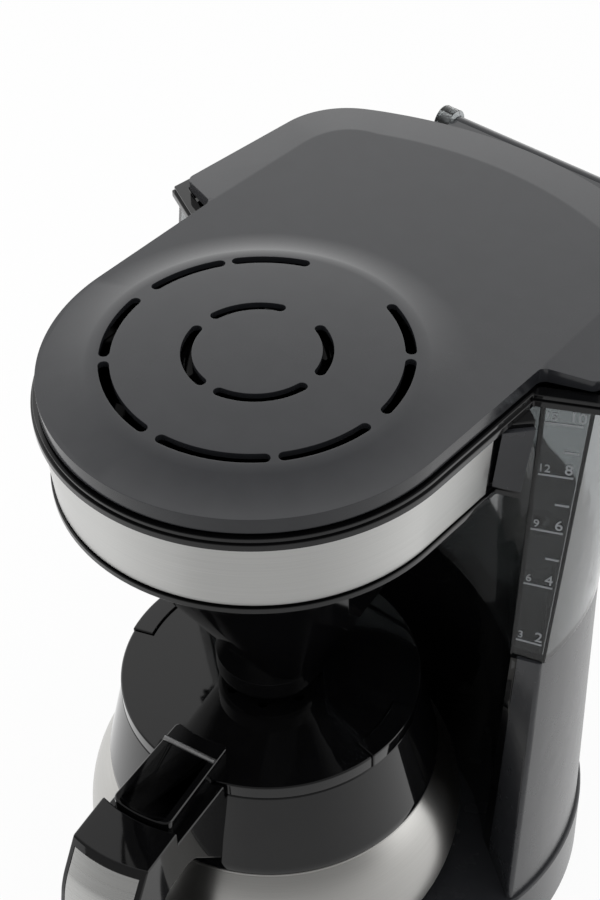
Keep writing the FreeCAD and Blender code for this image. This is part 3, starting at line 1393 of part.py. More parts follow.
def lever_pivot():
    """Place of the lever pin, in the lever's plane of symmetry."""
    y = -TONGUE_IN - TONGUE_RIM - LEVER_GAP - LEVER_PIN_SET
    share = (-y - TONGUE_IN) / (TONGUE_OUT - TONGUE_IN)
    top = JUG_LID_Z + TONGUE_TOP_IN + share * (TONGUE_TOP_OUT - TONGUE_TOP_IN)
    return V(0, y, top - LEVER_SINK - LEVER_T)


def lever_pin_solid(radius):
    """Cylinder on the lever's axis, inside the width of the tongue."""
    half = TONGUE_HALF_IN - LEVER_SINK
    pivot = lever_pivot()
    return Part.makeCylinder(radius, 2 * half, V(-half, pivot.y, pivot.z), V(1, 0, 0))


def lever_pin():
    """Steel pin of the thumb lever, held in the tongue."""
    return lever_pin_solid(LEVER_PIN_R)


def thumb_lever():
    """Dished lever in the tongue: pressing its outer end opens the pour valve."""
    plate = prism(tongue_plan(TONGUE_RIM + LEVER_GAP, TONGUE_BOTTOM), TONGUE_TOP_IN)
    plate = plate.cut(above_slope(LEVER_SINK))
    plate = plate.common(above_slope(LEVER_SINK + LEVER_T))
    pivot = lever_pivot()
    half = TONGUE_HALF_IN - TONGUE_RIM - LEVER_GAP
    knuckle = Part.makeCylinder(LEVER_KNUCKLE, 2 * half, V(-half, pivot.y, pivot.z), V(1, 0, 0))
    return joined([plate, knuckle]).cut(lever_pin_solid(LEVER_PIN_R + RUN)).cut(above_slope(LEVER_SINK))


def lid_seal():
    """Rubber ring round the plug in the neck."""
    plug_r = NECK_R - SHELL_T - PLUG_GAP
    z = PLUG_BOTTOM + PLUG_T
    return tube(plug_r + LID_SEAL_T / 2, plug_r, z, z + LID_SEAL_H)


def pour_valve():
    """Disc that closes the plug from below, on a stem with a collar above the spring."""
    top = PLUG_BOTTOM - GAP
    collar = PLUG_BOTTOM + PLUG_T + POUR_SPRING_H
    collar_r = POUR_STEM_R + GAP + POUR_SPRING_T
    return joined([disc(POUR_DISC_R, top - POUR_DISC_T, top), disc(POUR_STEM_R, top, collar),
                   disc(collar_r, collar, collar + POUR_COLLAR_T)])


def pour_spring():
    """Closing spring of the pour valve, drawn as the sleeve that its turns fill."""
    bore = POUR_STEM_R + GAP
    z = PLUG_BOTTOM + PLUG_T
    return tube(bore + POUR_SPRING_T, bore, z, z + POUR_SPRING_H)


PIECES = {
    "base_shell": base_shell, "bottom_cover": bottom_cover, "rubber_feet": rubber_feet,
    "cover_screws": cover_screws, "switch_body": switch_body, "switch_rocker": switch_rocker,
    "switch_lens": switch_lens, "cable_inlet": cable_inlet,
    "flow_heater": flow_heater, "heating_element": heating_element, "thermostat": thermostat,
    "thermal_fuse": thermal_fuse, "tank_hose": tank_hose, "riser_hose": riser_hose,
    "hose_clamps": hose_clamps, "check_valve_body": check_valve_body,
    "check_valve_ball": check_valve_ball, "tank_outlet_seal": tank_outlet_seal, "riser_tube": riser_tube,
    "column_shell": column_shell, "recess_wall": recess_wall, "water_tank": water_tank,
    "hinge_pins": hinge_pins, "head_frame": head_frame, "head_housing": head_housing,
    "steel_band": steel_band, "lid_cover": lid_cover, "water_guide": water_guide,
    "spray_plate": spray_plate, "filter_basket": filter_basket, "drip_plunger": drip_plunger,
    "drip_seal": drip_seal, "drip_spring": drip_spring,
}
JUG_PIECES = {
    "jug_shell": jug_shell, "jug_base_cap": jug_base_cap, "jug_flask": jug_flask,
    "jug_collar": jug_collar, "jug_handle": jug_handle, "handle_inlay": handle_inlay,
    "handle_screw": handle_screw,
    "jug_lid": jug_lid, "lid_grips": lid_grips, "lever_pin": lever_pin, "thumb_lever": thumb_lever,
    "lid_seal": lid_seal, "pour_valve": pour_valve, "pour_spring": pour_spring,
}


def build():
    """All pieces about the brew axis, the jug turned as it stands."""
    shapes = {name: make() for name, make in PIECES.items()}
    for side, name in ((1, "side_panel_right"), (-1, "side_panel_left")):
        shapes[name] = side_panel(side)
    for name, make in JUG_PIECES.items():
        shapes[name] = make()
        shapes[name].rotate(V(0, 0, 0), UP, JUG_TURN)
    return shapes


def depth_middle(shapes):
    """Y midway between the front-most and the rear-most point of the object."""
    box = Part.makeCompound(list(shapes.values())).optimalBoundingBox(False, False)
    return (box.YMin + box.YMax) / 2


os.makedirs("parts", exist_ok=True)
assembly = build()
middle_y = depth_middle(assembly)
for piece_name, piece in assembly.items():
    piece.translate(V(0, -middle_y, 0))
    piece.exportStep("parts/" + piece_name + ".step")
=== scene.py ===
import json
import logging
import math
from dataclasses import dataclass, field
from enum import Enum
from typing import Callable, Iterable, Sequence

import bmesh
import bpy
from bmesh.types import BMEdge, BMesh, BMFace, BMVert
from bpy.types import ID, Material, Node, NodeSocket, NodeTree, Object
from mathutils import Matrix, Vector


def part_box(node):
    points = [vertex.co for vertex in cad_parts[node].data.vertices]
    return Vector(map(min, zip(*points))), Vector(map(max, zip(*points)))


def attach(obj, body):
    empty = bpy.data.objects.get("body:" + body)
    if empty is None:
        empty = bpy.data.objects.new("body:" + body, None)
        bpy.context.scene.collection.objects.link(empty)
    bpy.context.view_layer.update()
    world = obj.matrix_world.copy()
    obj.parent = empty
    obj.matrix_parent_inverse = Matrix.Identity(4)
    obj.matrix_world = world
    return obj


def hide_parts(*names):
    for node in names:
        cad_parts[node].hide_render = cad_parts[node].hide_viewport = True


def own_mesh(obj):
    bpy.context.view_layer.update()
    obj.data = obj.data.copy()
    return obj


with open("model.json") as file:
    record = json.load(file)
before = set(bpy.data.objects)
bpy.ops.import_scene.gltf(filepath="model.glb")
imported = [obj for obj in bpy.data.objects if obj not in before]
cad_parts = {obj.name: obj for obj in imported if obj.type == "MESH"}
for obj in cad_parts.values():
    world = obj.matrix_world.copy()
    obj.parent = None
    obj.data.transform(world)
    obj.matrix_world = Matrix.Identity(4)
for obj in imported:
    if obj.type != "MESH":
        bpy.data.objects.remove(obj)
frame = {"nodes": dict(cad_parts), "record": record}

# Drip coffee maker with a thermal jug: the dressed pieces round the fixed frame.
# Pieces are modelled in millimetres about the brew axis, which is the centre line of cap, filter and jug,
# with the table at z = 0 and the front towards -Y. They are brought to the frame's metres at the end.

log = logging.getLogger("coffee_maker")
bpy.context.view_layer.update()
MM = 0.001
UP = Vector((0.0, 0.0, 1.0))
JUG_TURN = 9.0              # degrees that the jug's handle stands off straight ahead
SHARP = 32.0                # degrees between faces past which an edge stays crisp
FOLDED = 35.0               # degrees between faces past which an edge is rounded
SQUARE = 60.0               # the same where only square edges are
FLAT = 0.4                  # degrees up to which a node's triangles are one face
FACING = 0.95               # cosine past which a face counts as looking in a direction
WELD = 0.01                 # millimetres within which drawn points are joined
CUT_WELD = 0.002            # the same for what a cut leaves
TURN_WELD = 0.001           # the same where a turned shape closes
NEAR = 0.1                  # millimetres within which two levels are one
RELIEF = 0.1 * MM           # depth of the relief in a finish
BORE_STEPS = 180            # steps round a bore
TURN_STEPS = 200            # steps round a turned piece that is seen close
WHITE = (1.0, 1.0, 1.0, 1.0)

Point = tuple[float, float]
Place = tuple[float, float, float]


def brew_axis() -> Matrix:
    """Millimetres about the brew axis to metres in the frame.

    Returns:
        The matrix, with the axis taken from the middle of the jug's round flask.
    """
    low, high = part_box("jug_flask")
    return Matrix.Translation((0.0, (low.y + high.y) / 2, 0.0)) @ Matrix.Scale(MM, 4)


TO_FRAME = brew_axis()


class Body(Enum):
    """Bodies of the frame that pieces ride on."""

    MACHINE = "machine"
    LID = "lid"
    FILTER = "filter"
    JUG = "jug"
    JUG_LID = "jug_lid"
    LEVER = "thumb_lever"


class Brush(Enum):
    """Direction of the brush lines in steel, as the axis that they cross."""

    LEVEL = (0.0, 0.0, 1.0)
    UPRIGHT = (1.0, 0.0, 0.0)


def in_scene(name: str, data: ID) -> Object:
    """Puts data in the scene.

    Args:
        name: Name of the object.
        data: Mesh, light or other data that it shows.

    Returns:
        The object.
    """
    made = bpy.data.objects.new(name, data)
    bpy.context.scene.collection.objects.link(made)
    return made


# Node materials


def linear(code: str) -> tuple[float, float, float, float]:
    """Turns a colour as seen on a screen into the linear one that shaders take.

    Args:
        code: sRGB colour as six hex digits.

    Returns:
        Linear red, green, blue and an alpha of 1.
    """
    shares = [int(code[i:i + 2], 16) / 255 for i in (0, 2, 4)]
    red, green, blue = (s / 12.92 if s <= 0.04045 else ((s + 0.055) / 1.055) ** 2.4 for s in shares)
    return red, green, blue, 1.0


def add(tree: NodeTree, kind: str, values: dict | None = None, links: dict | None = None,
        **props: object) -> Node:
    """Adds a node with its settings and links.

    Args:
        tree: Node tree to add to.
        kind: Blender's name of the node type.
        values: Constants by input socket.
        links: Output sockets by the input socket that they feed.
        props: Plain properties of the node.

    Returns:
        The new node.
    """
    made = tree.nodes.new(kind)
    for key, value in props.items():
        setattr(made, key, value)
    for socket, value in (values or {}).items():
        made.inputs[socket].default_value = value
    for socket, source in (links or {}).items():
        tree.links.new(source, made.inputs[socket])
    return made


def fresh_tree(name: str) -> tuple[Material, NodeTree]:
    """Makes an empty node material.

    Args:
        name: Name of the material.

    Returns:
        The material and its tree.
    """
    made = bpy.data.materials.new(name)
    made.use_nodes = True
    made.node_tree.nodes.clear()
    return made, made.node_tree


def per_mm(size: float) -> float:
    """Texture scale at which a pattern repeats about every so many millimetres."""
    return 1.0 / (size * MM)


@dataclass(frozen=True)
class Finish:
    """A surface finish: the name of its material and the slot that it fills."""

    name: str
    slot: str

    def surface(self, tree: NodeTree, place: NodeSocket) -> Node:
        """Adds the nodes that give the look.

        Args:
            tree: Node tree of the material.
            place: Socket with the place on the piece.

        Returns:
            The shader node.
        """
        raise NotImplementedError

    def material(self) -> Material:
        """Makes the node material, or finds the one made before.

        Returns:
            The material.
        """
        known = bpy.data.materials.get(self.name)
        if known:
            return known
        made, tree = fresh_tree(self.name)
        shader = self.surface(tree, add(tree, "ShaderNodeTexCoord").outputs["Object"])
        add(tree, "ShaderNodeOutputMaterial", None, {"Surface": shader.outputs["BSDF"]})
        return made


@dataclass(frozen=True)
class Toned(Finish):
    """A finish whose tone and gloss follow one pattern."""

    tone: str
    deep: str
    roughness: float

    def follow(self, tree: NodeTree, pattern: NodeSocket, ends: Point,
               spread: float) -> dict[str, NodeSocket]:
        """Lets tone and gloss follow a pattern.

        Args:
            tree: Node tree of the material.
            pattern: Socket with the pattern, from 0 to 1.
            ends: Where in the pattern the deep tone ends and the full tone begins.
            spread: Width of the range of roughness.

        Returns:
            Their sockets by the shader's input.
        """
        tint = add(tree, "ShaderNodeValToRGB", None, {"Fac": pattern})
        for stop, code, end in zip(tint.color_ramp.elements, (self.deep, self.tone), ends):
            stop.color = linear(code)
            stop.position = end
        span = {"To Min": self.roughness - spread / 2, "To Max": self.roughness + spread / 2}
        gloss = add(tree, "ShaderNodeMapRange", span, {"Value": pattern})
        return {"Base Color": tint.outputs["Color"], "Roughness": gloss.outputs["Result"]}


@dataclass(frozen=True)
class Plastic(Toned):
    """Moulded plastic: an even tone with a faint flow mottle and the gloss that the mould left."""

    spread: float = 0.03
    mottle_mm: float = 9.0
    mottle_detail: float = 3.0
    mottle_ends: Point = (0.3, 0.7)
    grain_mm: float = 0.9
    grain_detail: float = 2.0
    grain: float = 0.02
    ior: float = 1.53

    def surface(self, tree: NodeTree, place: NodeSocket) -> Node:
        """Adds the mottle, the gloss that follows it and the grain of the skin.

        Args:
            tree: Node tree of the material.
            place: Socket with the place on the piece.

        Returns:
            The shader node.
        """
        flow = add(tree, "ShaderNodeTexNoise",
                   {"Scale": per_mm(self.mottle_mm), "Detail": self.mottle_detail}, {"Vector": place})
        skin = add(tree, "ShaderNodeTexNoise",
                   {"Scale": per_mm(self.grain_mm), "Detail": self.grain_detail}, {"Vector": place})
        bump = add(tree, "ShaderNodeBump", {"Strength": self.grain, "Distance": RELIEF},
                   {"Height": skin.outputs["Fac"]})
        look = self.follow(tree, flow.outputs["Fac"], self.mottle_ends, self.spread)
        return add(tree, "ShaderNodeBsdfPrincipled", {"IOR": self.ior},
                   {**look, "Normal": bump.outputs["Normal"]})


@dataclass(frozen=True)
class Steel(Toned):
    """Metal with brush lines: fine streaks that run one way and blur what it mirrors across them."""

    brush: Brush
    line_mm: float = 0.2
    run_mm: float = 60.0
    line_detail: float = 4.0
    line_rough: float = 0.65
    line_ends: Point = (0.32, 0.68)
    depth: float = 0.03
    spread: float = 0.08
    smear: float = 0.0

    def surface(self, tree: NodeTree, place: NodeSocket) -> Node:
        """Adds the lines, the gloss that follows them and the way that they blur.

        Args:
            tree: Node tree of the material.
            place: Socket with the place on the piece.

        Returns:
            The shader node.
        """
        across = self.brush.value
        stretch = [per_mm(self.line_mm) * a + per_mm(self.run_mm) * (1.0 - a) for a in across]
        streaks = add(tree, "ShaderNodeMapping", {"Scale": stretch}, {"Vector": place})
        lines = add(tree, "ShaderNodeTexNoise",
                    {"Scale": 1.0, "Detail": self.line_detail, "Roughness": self.line_rough},
                    {"Vector": streaks.outputs["Vector"]})
        bump = add(tree, "ShaderNodeBump", {"Strength": self.depth, "Distance": RELIEF},
                   {"Height": lines.outputs["Fac"]})
        smeared = add(tree, "ShaderNodeCombineXYZ", dict(zip("XYZ", across)))
        look = self.follow(tree, lines.outputs["Fac"], self.line_ends, self.spread)
        return add(tree, "ShaderNodeBsdfPrincipled", {"Metallic": 1.0, "Anisotropic": self.smear},
                   {**look, "Normal": bump.outputs["Normal"], "Tangent": smeared.outputs["Vector"]})


@dataclass(frozen=True)
class Clear(Finish):
    """Clear styrene plastic: seen through, with bright edges and a faint waviness from the mould."""

    tone: str
    roughness: float
    transmission: float = 1.0
    ior: float = 1.49
    wave_mm: float = 14.0
    wave_detail: float = 1.0
    wave: float = 0.04
    spread: float = 0.3

    def surface(self, tree: NodeTree, place: NodeSocket) -> Node:
        """Adds the waves and the gloss that follows them.

        Args:
            tree: Node tree of the material.
            place: Socket with the place on the piece.

        Returns:
            The shader node.
        """
        waves = add(tree, "ShaderNodeTexNoise",
                    {"Scale": per_mm(self.wave_mm), "Detail": self.wave_detail}, {"Vector": place})
        bump = add(tree, "ShaderNodeBump", {"Strength": self.wave, "Distance": RELIEF},
                   {"Height": waves.outputs["Fac"]})
        span = {"To Min": self.roughness * (1.0 - self.spread),
                "To Max": self.roughness * (1.0 + self.spread)}
        gloss = add(tree, "ShaderNodeMapRange", span, {"Value": waves.outputs["Fac"]})
        even = {"Base Color": linear(self.tone), "Transmission Weight": self.transmission, "IOR": self.ior}
        return add(tree, "ShaderNodeBsdfPrincipled", even,
                   {"Normal": bump.outputs["Normal"], "Roughness": gloss.outputs["Result"]})


# Gloss black ABS from a polished mould: mirrors its surroundings, black where they are dark
GLOSS_BLACK = Plastic("polished_black_abs", "black_plastic", "0a0a0b", "070708", 0.04,
                      spread=0.02, grain=0.01)
# Charcoal ABS with a fine satin: even grey sheen under a broad light
CHARCOAL = Plastic("satin_charcoal_abs", "lid_plastic", "292a2d", "26272a", 0.15, grain_mm=0.5)
# Dark grey ABS moulded with a satin: a soft sheen, wider than the lid's
DARK_GREY = Plastic("satin_grey_abs", "grey_plastic", "2f3033", "2c2d30", 0.27, grain_mm=0.5)
# Moulded styrene acrylonitrile: clear with a faint smoke, so that what is behind it shows a little darker
CLEAR_SAN = Clear("clear_smoky_san", "clear_plastic", "a6aaab", 0.05, transmission=0.98)
# The same plastic left frosted on the raised figures, which shows them pale
FROSTED_SAN = Clear("frosted_san", "clear_plastic", "b4b7bb", 0.4, transmission=0.4)
# Brushed stainless steel, lines level; the lines are drawn coarser than the real 0.1 mm so that they show
BRUSHED_BAND = Steel("brushed_stainless_band", "brushed_steel", "cfcfcd", "c3c3c1", 0.3, Brush.LEVEL,
                     smear=0.75)
# Satin stainless steel of the jug, lines finer and softer: a broad, even sheen
SATIN_SHELL = Steel("satin_stainless_shell", "brushed_steel", "c6c5c2", "bcbbb8", 0.33, Brush.LEVEL,
                    line_mm=0.15, depth=0.02, spread=0.05, smear=0.6)
# Brushed stainless strip on the handle, lines level: a little brighter than the band
BRUSHED_INLAY = Steel("brushed_stainless_inlay", "brushed_steel", "d2d2d0", "c0c0be", 0.28, Brush.LEVEL,
                      smear=0.75)
# Plated steel of screws, pins and springs: bright, with short drawing marks
PLATED = Steel("plated_steel", "steel_fittings", "c4c4c4", "a9a9a9", 0.3, Brush.UPRIGHT,
               line_mm=0.5, run_mm=6.0)
# Extruded aluminium of the flow heater, dull with die lines
ALUMINIUM = Steel("extruded_aluminium", "heater_aluminium", "c9cacc", "b2b3b5", 0.42, Brush.LEVEL,
                  line_mm=0.6)
# Moulded rubber of feet and seals: matt, with next to no highlight
RUBBER = Plastic("matt_rubber", "rubber", "1c1c1c", "141414", 0.75, grain_mm=0.4, grain=0.2, ior=1.5)
# Extruded silicone of the water hoses: milky, with a dull sheen
SILICONE = Plastic("milky_silicone", "silicone", "dcdad2", "cfcdc4", 0.5, grain_mm=1.5, ior=1.41)
# Moulded amber plastic of the lamp window: deep orange, seen through a little
AMBER = Clear("amber_lens", "lamp_lens", "d8741e", 0.12, transmission=0.6)


# Mesh tools


def run(bm: BMesh, pen: BMVert, *points: Sequence[float]) -> BMVert:
    """Draws straight edges from the pen through the points.

    Args:
        bm: Mesh to draw in.
        pen: Vertex to start from.
        points: Places to go to, in order.

    Returns:
        The vertex where the pen stops.
    """
    for point in points:
        nxt = bm.verts.new(point)
        bm.edges.new((pen, nxt))
        pen = nxt
    return pen


def sweep(bm: BMesh, pen: BMVert, degrees: float, steps: int,
          centre: Sequence[float] = (0.0, 0.0, 0.0)) -> BMVert:
    """Draws a level arc from the pen about a centre.

    Args:
        bm: Mesh to draw in.
        pen: Vertex to start from.
        degrees: Angle of the arc.
        steps: Edges along it.
        centre: Point on the arc's upright axis.

    Returns:
        The vertex where the pen stops.
    """
    made = bmesh.ops.spin(bm, geom=[pen], cent=centre, axis=UP, angle=math.radians(degrees), steps=steps)
    return next(g for g in made["geom_last"] if isinstance(g, BMVert))


def weld(bm: BMesh, distance: float = WELD) -> None:
    """Joins the vertices that lie together."""
    bmesh.ops.remove_doubles(bm, verts=bm.verts[:], dist=distance)


def outwards(bm: BMesh) -> None:
    """Turns all faces outwards."""
    bmesh.ops.recalc_face_normals(bm, faces=bm.faces[:])


def inset(bm: BMesh, faces: list[BMFace], width: float, depth: float = 0.0) -> None:
    """Draws faces in from their rim, and down by a depth."""
    bmesh.ops.inset_region(bm, faces=faces, thickness=width, depth=-depth, use_even_offset=True,
                           use_boundary=True)


def mirror_x(bm: BMesh) -> None:
    """Adds the mirror image across the plane x = 0 and joins the two halves.

    Args:
        bm: Mesh to mirror.
    """
    geom = bm.verts[:] + bm.edges[:] + bm.faces[:]
    bmesh.ops.mirror(bm, geom=geom, matrix=Matrix.Identity(4), merge_dist=WELD, axis="X")
    weld(bm)


def fill(bm: BMesh) -> BMFace:
    """Makes the one face inside a closed line of edges."""
    return bmesh.ops.contextual_create(bm, geom=bm.edges[:])["faces"][0]


def bevel(bm: BMesh, geom: list, offset: float, segments: int, affect: str = "EDGES",
          clamp: bool = True) -> None:
    """Rounds edges or corners.

    Args:
        bm: Mesh to work on.
        geom: Edges or vertices to round.
        offset: Width of the rounding.
        segments: Faces across it.
        affect: EDGES or VERTICES.
        clamp: Whether neighbours limit the width.
    """
    if geom:
        bmesh.ops.bevel(bm, geom=geom, offset=offset, offset_type="OFFSET", segments=segments, profile=0.5,
                        affect=affect, material=-1, clamp_overlap=clamp)


def round_corner(bm: BMesh, place: Sequence[float], radius: float, segments: int = 6) -> None:
    """Rounds the corner of a flat outline or of a bare line of edges.

    Args:
        bm: Mesh with the outline.
        place: Where the corner is.
        radius: Radius of the rounding.
        segments: Edges along it.
    """
    corner = min(bm.verts, key=lambda v: (v.co - Vector(place)).length)
    ways = [e.other_vert(corner).co - corner.co for e in corner.link_edges]
    half = ways[0].angle(ways[1]) / 2
    bevel(bm, [corner], radius / math.tan(half), segments, "VERTICES")


def raise_faces(bm: BMesh, faces: list[BMFace], way: Sequence[float]) -> list[BMFace]:
    """Extrudes faces and moves them.

    Args:
        bm: Mesh to work on.
        faces: Faces to extrude.
        way: How far to move them.

    Returns:
        The moved faces.
    """
    joined = any(len(e.link_faces) > 1 for f in faces for e in f.edges)
    made = bmesh.ops.extrude_face_region(bm, geom=faces)["geom"]
    bmesh.ops.translate(bm, verts=[g for g in made if isinstance(g, BMVert)], vec=way)
    if joined:
        bmesh.ops.delete(bm, geom=[f for f in faces if f.is_valid], context="FACES")
    outwards(bm)
    return [g for g in made if isinstance(g, BMFace)]


def facing(bm: BMesh, way: Sequence[float]) -> list[BMFace]:
    """Faces that look in a direction."""
    bm.normal_update()
    return [f for f in bm.faces if f.normal.dot(Vector(way)) > FACING]


def crisp(bm: BMesh, keep: Callable[[BMEdge], bool] | None = None, angle: float = FOLDED) -> list[BMEdge]:
    """Edges whose two faces meet at more than an angle.

    Args:
        bm: Mesh to look through.
        keep: Further test that an edge has to pass.
        angle: Least angle in degrees.

    Returns:
        The edges.
    """
    bm.normal_update()
    limit = math.radians(angle)
    found = [e for e in bm.edges if len(e.link_faces) == 2 and e.calc_face_angle(0.0) > limit]
    return [e for e in found if keep is None or keep(e)]


def lathe(profile: Sequence[Point], rounds: dict[int, float] | None = None, steps: int = 160,
          degrees: float = 360.0, start: float = 0.0) -> BMesh:
    """Turns a profile about the brew axis.

    Args:
        profile: Points as radius and level; closed by itself if its ends lie on the axis.
        rounds: Corner radius by the point's index.
        steps: Steps round the turn.
        degrees: Angle of the turn.
        start: Bearing of the profile in degrees.

    Returns:
        The turned mesh, with its faces outwards where it is closed.
    """
    bm = bmesh.new()
    points = [(r, 0.0, z) for r, z in profile]
    run(bm, bm.verts.new(points[0]), *points[1:])
    weld(bm, TURN_WELD)
    for index, radius in (rounds or {}).items():
        round_corner(bm, points[index], radius)
    if start:
        turn = Matrix.Rotation(math.radians(start), 3, "Z")
        bmesh.ops.rotate(bm, verts=bm.verts[:], cent=(0, 0, 0), matrix=turn)
    whole = degrees >= 360.0
    bmesh.ops.spin(bm, geom=bm.verts[:] + bm.edges[:], cent=(0, 0, 0), axis=UP, angle=math.radians(degrees),
                   steps=steps, use_merge=whole)
    weld(bm, TURN_WELD)
    if not whole:
        bmesh.ops.holes_fill(bm, edges=[e for e in bm.edges if len(e.link_faces) == 1])
    outwards(bm)
    return bm


def scratch_object(bm: BMesh, name: str) -> Object:
    """Puts a mesh in the scene for a moment, so that a modifier can work on it.

    Args:
        bm: The mesh.
        name: Name of the object.

    Returns:
        The object.
    """
    mesh = bpy.data.meshes.new(name)
    bm.to_mesh(mesh)
    return in_scene(name, mesh)


def combine(bm: BMesh, tool: BMesh, how: str = "DIFFERENCE") -> None:
    """Cuts a shape by another, or joins the two.

    Args:
        bm: Shape that is changed.
        tool: Other shape, used up by this.
        how: DIFFERENCE, UNION or INTERSECT.
    """
    work = scratch_object(bm, "work")
    other = scratch_object(tool, "tool")
    step = work.modifiers.new("step", "BOOLEAN")
    step.operation = how
    step.solver = "EXACT"
    step.object = other
    done = bpy.data.meshes.new_from_object(work.evaluated_get(bpy.context.evaluated_depsgraph_get()))
    bm.clear()
    bm.from_mesh(done)
    tool.free()
    for used in (work, other):
        mesh = used.data
        bpy.data.objects.remove(used)
        bpy.data.meshes.remove(mesh)
    bpy.data.meshes.remove(done)
    weld(bm, CUT_WELD)
    bmesh.ops.dissolve_degenerate(bm, edges=bm.edges[:], dist=CUT_WELD)


def take_in(bm: BMesh, other: BMesh) -> None:
    """Adds the faces of another mesh.

    Args:
        bm: Mesh to add to.
        other: The other mesh, used up by this.
    """
    mesh = bpy.data.meshes.new("taken")
    other.to_mesh(mesh)
    other.free()
    bm.from_mesh(mesh)
    bpy.data.meshes.remove(mesh)


def cylinder(radius: float, low: float, high: float, steps: int = 96) -> BMesh:
    """Upright cylinder on the brew axis, between two levels."""
    return lathe([(0.0, low), (radius, low), (radius, high), (0.0, high)], steps=steps)


def bar_x(radius: float, half: float, y: float, z: float) -> BMesh:
    """Level cylinder along X, centred on the plane x = 0.

    Args:
        radius: Its radius.
        half: Half its length.
        y: Place of its axis.
        z: Level of its axis.

    Returns:
        The closed shape.
    """
    bm = bmesh.new()
    turn = Matrix.Translation((0.0, y, z)) @ Matrix.Rotation(math.radians(90.0), 4, "Y")
    bmesh.ops.create_cone(bm, cap_ends=True, segments=48, radius1=radius, radius2=radius, depth=2 * half,
                          matrix=turn)
    return bm


def box(size: Place, centre: Place = (0.0, 0.0, 0.0)) -> BMesh:
    """Upright box.

    Args:
        size: Its width, depth and height.
        centre: Its middle.

    Returns:
        The closed shape.
    """
    bm = bmesh.new()
    bmesh.ops.create_cube(bm, size=1.0)
    bmesh.ops.scale(bm, vec=size, verts=bm.verts[:])
    bmesh.ops.translate(bm, vec=centre, verts=bm.verts[:])
    return bm


def publish(bm: BMesh, name: str, finish: Finish, body: Body, stands_for: Iterable[str] = (),
            turn: float = 0.0, in_mm: bool = True, sharp: float = SHARP) -> Object:
    """Makes a mesh a finished piece of the object.

    Args:
        bm: The mesh, used up by this.
        name: Name of the piece.
        finish: Its finish.
        body: Body of the frame that it rides on.
        stands_for: Nodes of the frame that it replaces.
        turn: Degrees that it is turned about the brew axis.
        in_mm: Whether the mesh is in millimetres about the brew axis.
        sharp: Angle in degrees past which an edge stays crisp.

    Returns:
        The piece.
    """
    if in_mm:
        place = TO_FRAME @ Matrix.Rotation(math.radians(turn), 4, "Z")
        bmesh.ops.transform(bm, matrix=place, verts=bm.verts[:])
    for face in bm.faces:
        face.smooth = True
    mesh = bpy.data.meshes.new(name)
    bm.to_mesh(mesh)
    bm.free()
    mesh.set_sharp_from_angle(angle=math.radians(sharp))
    mesh.materials.append(finish.material())
    made = in_scene(name, mesh)
    even = made.modifiers.new("even_shading", "WEIGHTED_NORMAL")
    even.keep_sharp = True
    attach(made, body.value)
    if stands_for:
        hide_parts(*stands_for)
    log.info("%s: %d faces on %s", name, len(mesh.polygons), body.value)
    return made


def eased_copy(node: str, name: str, finish: Finish, body: Body, width: float) -> Object:
    """A node's shape with its crisp edges rounded.

    Args:
        node: Node of the frame.
        name: Name of the piece.
        finish: Its finish.
        body: Body that it rides on.
        width: Width of the rounding in millimetres.

    Returns:
        The piece.
    """
    bm = bmesh.new()
    bm.from_mesh(frame["nodes"][node].data)
    weld(bm, CUT_WELD * MM)
    bmesh.ops.dissolve_limit(bm, angle_limit=math.radians(FLAT), verts=bm.verts[:], edges=bm.edges[:])
    bevel(bm, crisp(bm), width * MM, 3)
    return publish(bm, name, finish, body, (node,), in_mm=False)


def coil(node: str, name: str, body: Body, radius: float, wire: float, turns: int) -> Object:
    """A wound spring in the place of a node's plain sleeve.

    Args:
        node: Node of the frame that it replaces.
        name: Name of the piece.
        body: Body that it rides on.
        radius: Radius of the winding, in millimetres.
        wire: Radius of the wire.
        turns: Number of turns.

    Returns:
        The piece.
    """
    low, high = (TO_FRAME.inverted() @ Vector(c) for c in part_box(node))
    middle = (low + high) / 2
    steps = 28
    rise = (high.z - low.z - 2 * wire) / (turns * steps)
    bm = bmesh.new()
    start = Matrix.Translation((middle.x + radius, middle.y, low.z + wire))
    bmesh.ops.create_circle(bm, segments=10, radius=wire, matrix=start @ Matrix.Rotation(math.pi / 2, 4, "X"))
    bmesh.ops.spin(bm, geom=bm.verts[:] + bm.edges[:], cent=(middle.x, middle.y, 0.0), axis=UP,
                   dvec=(0, 0, rise), angle=2 * math.pi * turns, steps=turns * steps)
    bmesh.ops.holes_fill(bm, edges=[e for e in bm.edges if len(e.link_faces) == 1])
    outwards(bm)
    return publish(bm, name, PLATED, body, (node,))


def bow(low: Point, mid: Point, high: Point, steps: int) -> list[Point]:
    """Points along the arc through three points.

    Args:
        low: First point.
        mid: Point on the way.
        high: Last point.
        steps: Number of stretches.

    Returns:
        The points, both ends among them.
    """
    (ax, ay), (bx, by), (cx, cy) = low, mid, high
    span = 2 * (ax * (by - cy) + bx * (cy - ay) + cx * (ay - by))
    squares = [x * x + y * y for x, y in (low, mid, high)]
    x = (squares[0] * (by - cy) + squares[1] * (cy - ay) + squares[2] * (ay - by)) / span
    y = (squares[0] * (cx - bx) + squares[1] * (ax - cx) + squares[2] * (bx - ax)) / span
    radius = math.hypot(ax - x, ay - y)
    first = math.atan2(ay - y, ax - x)
    last = math.atan2(cy - y, cx - x)
    turns = [first + (last - first) * i / steps for i in range(steps + 1)]
    return [(x + radius * math.cos(a), y + radius * math.sin(a)) for a in turns]


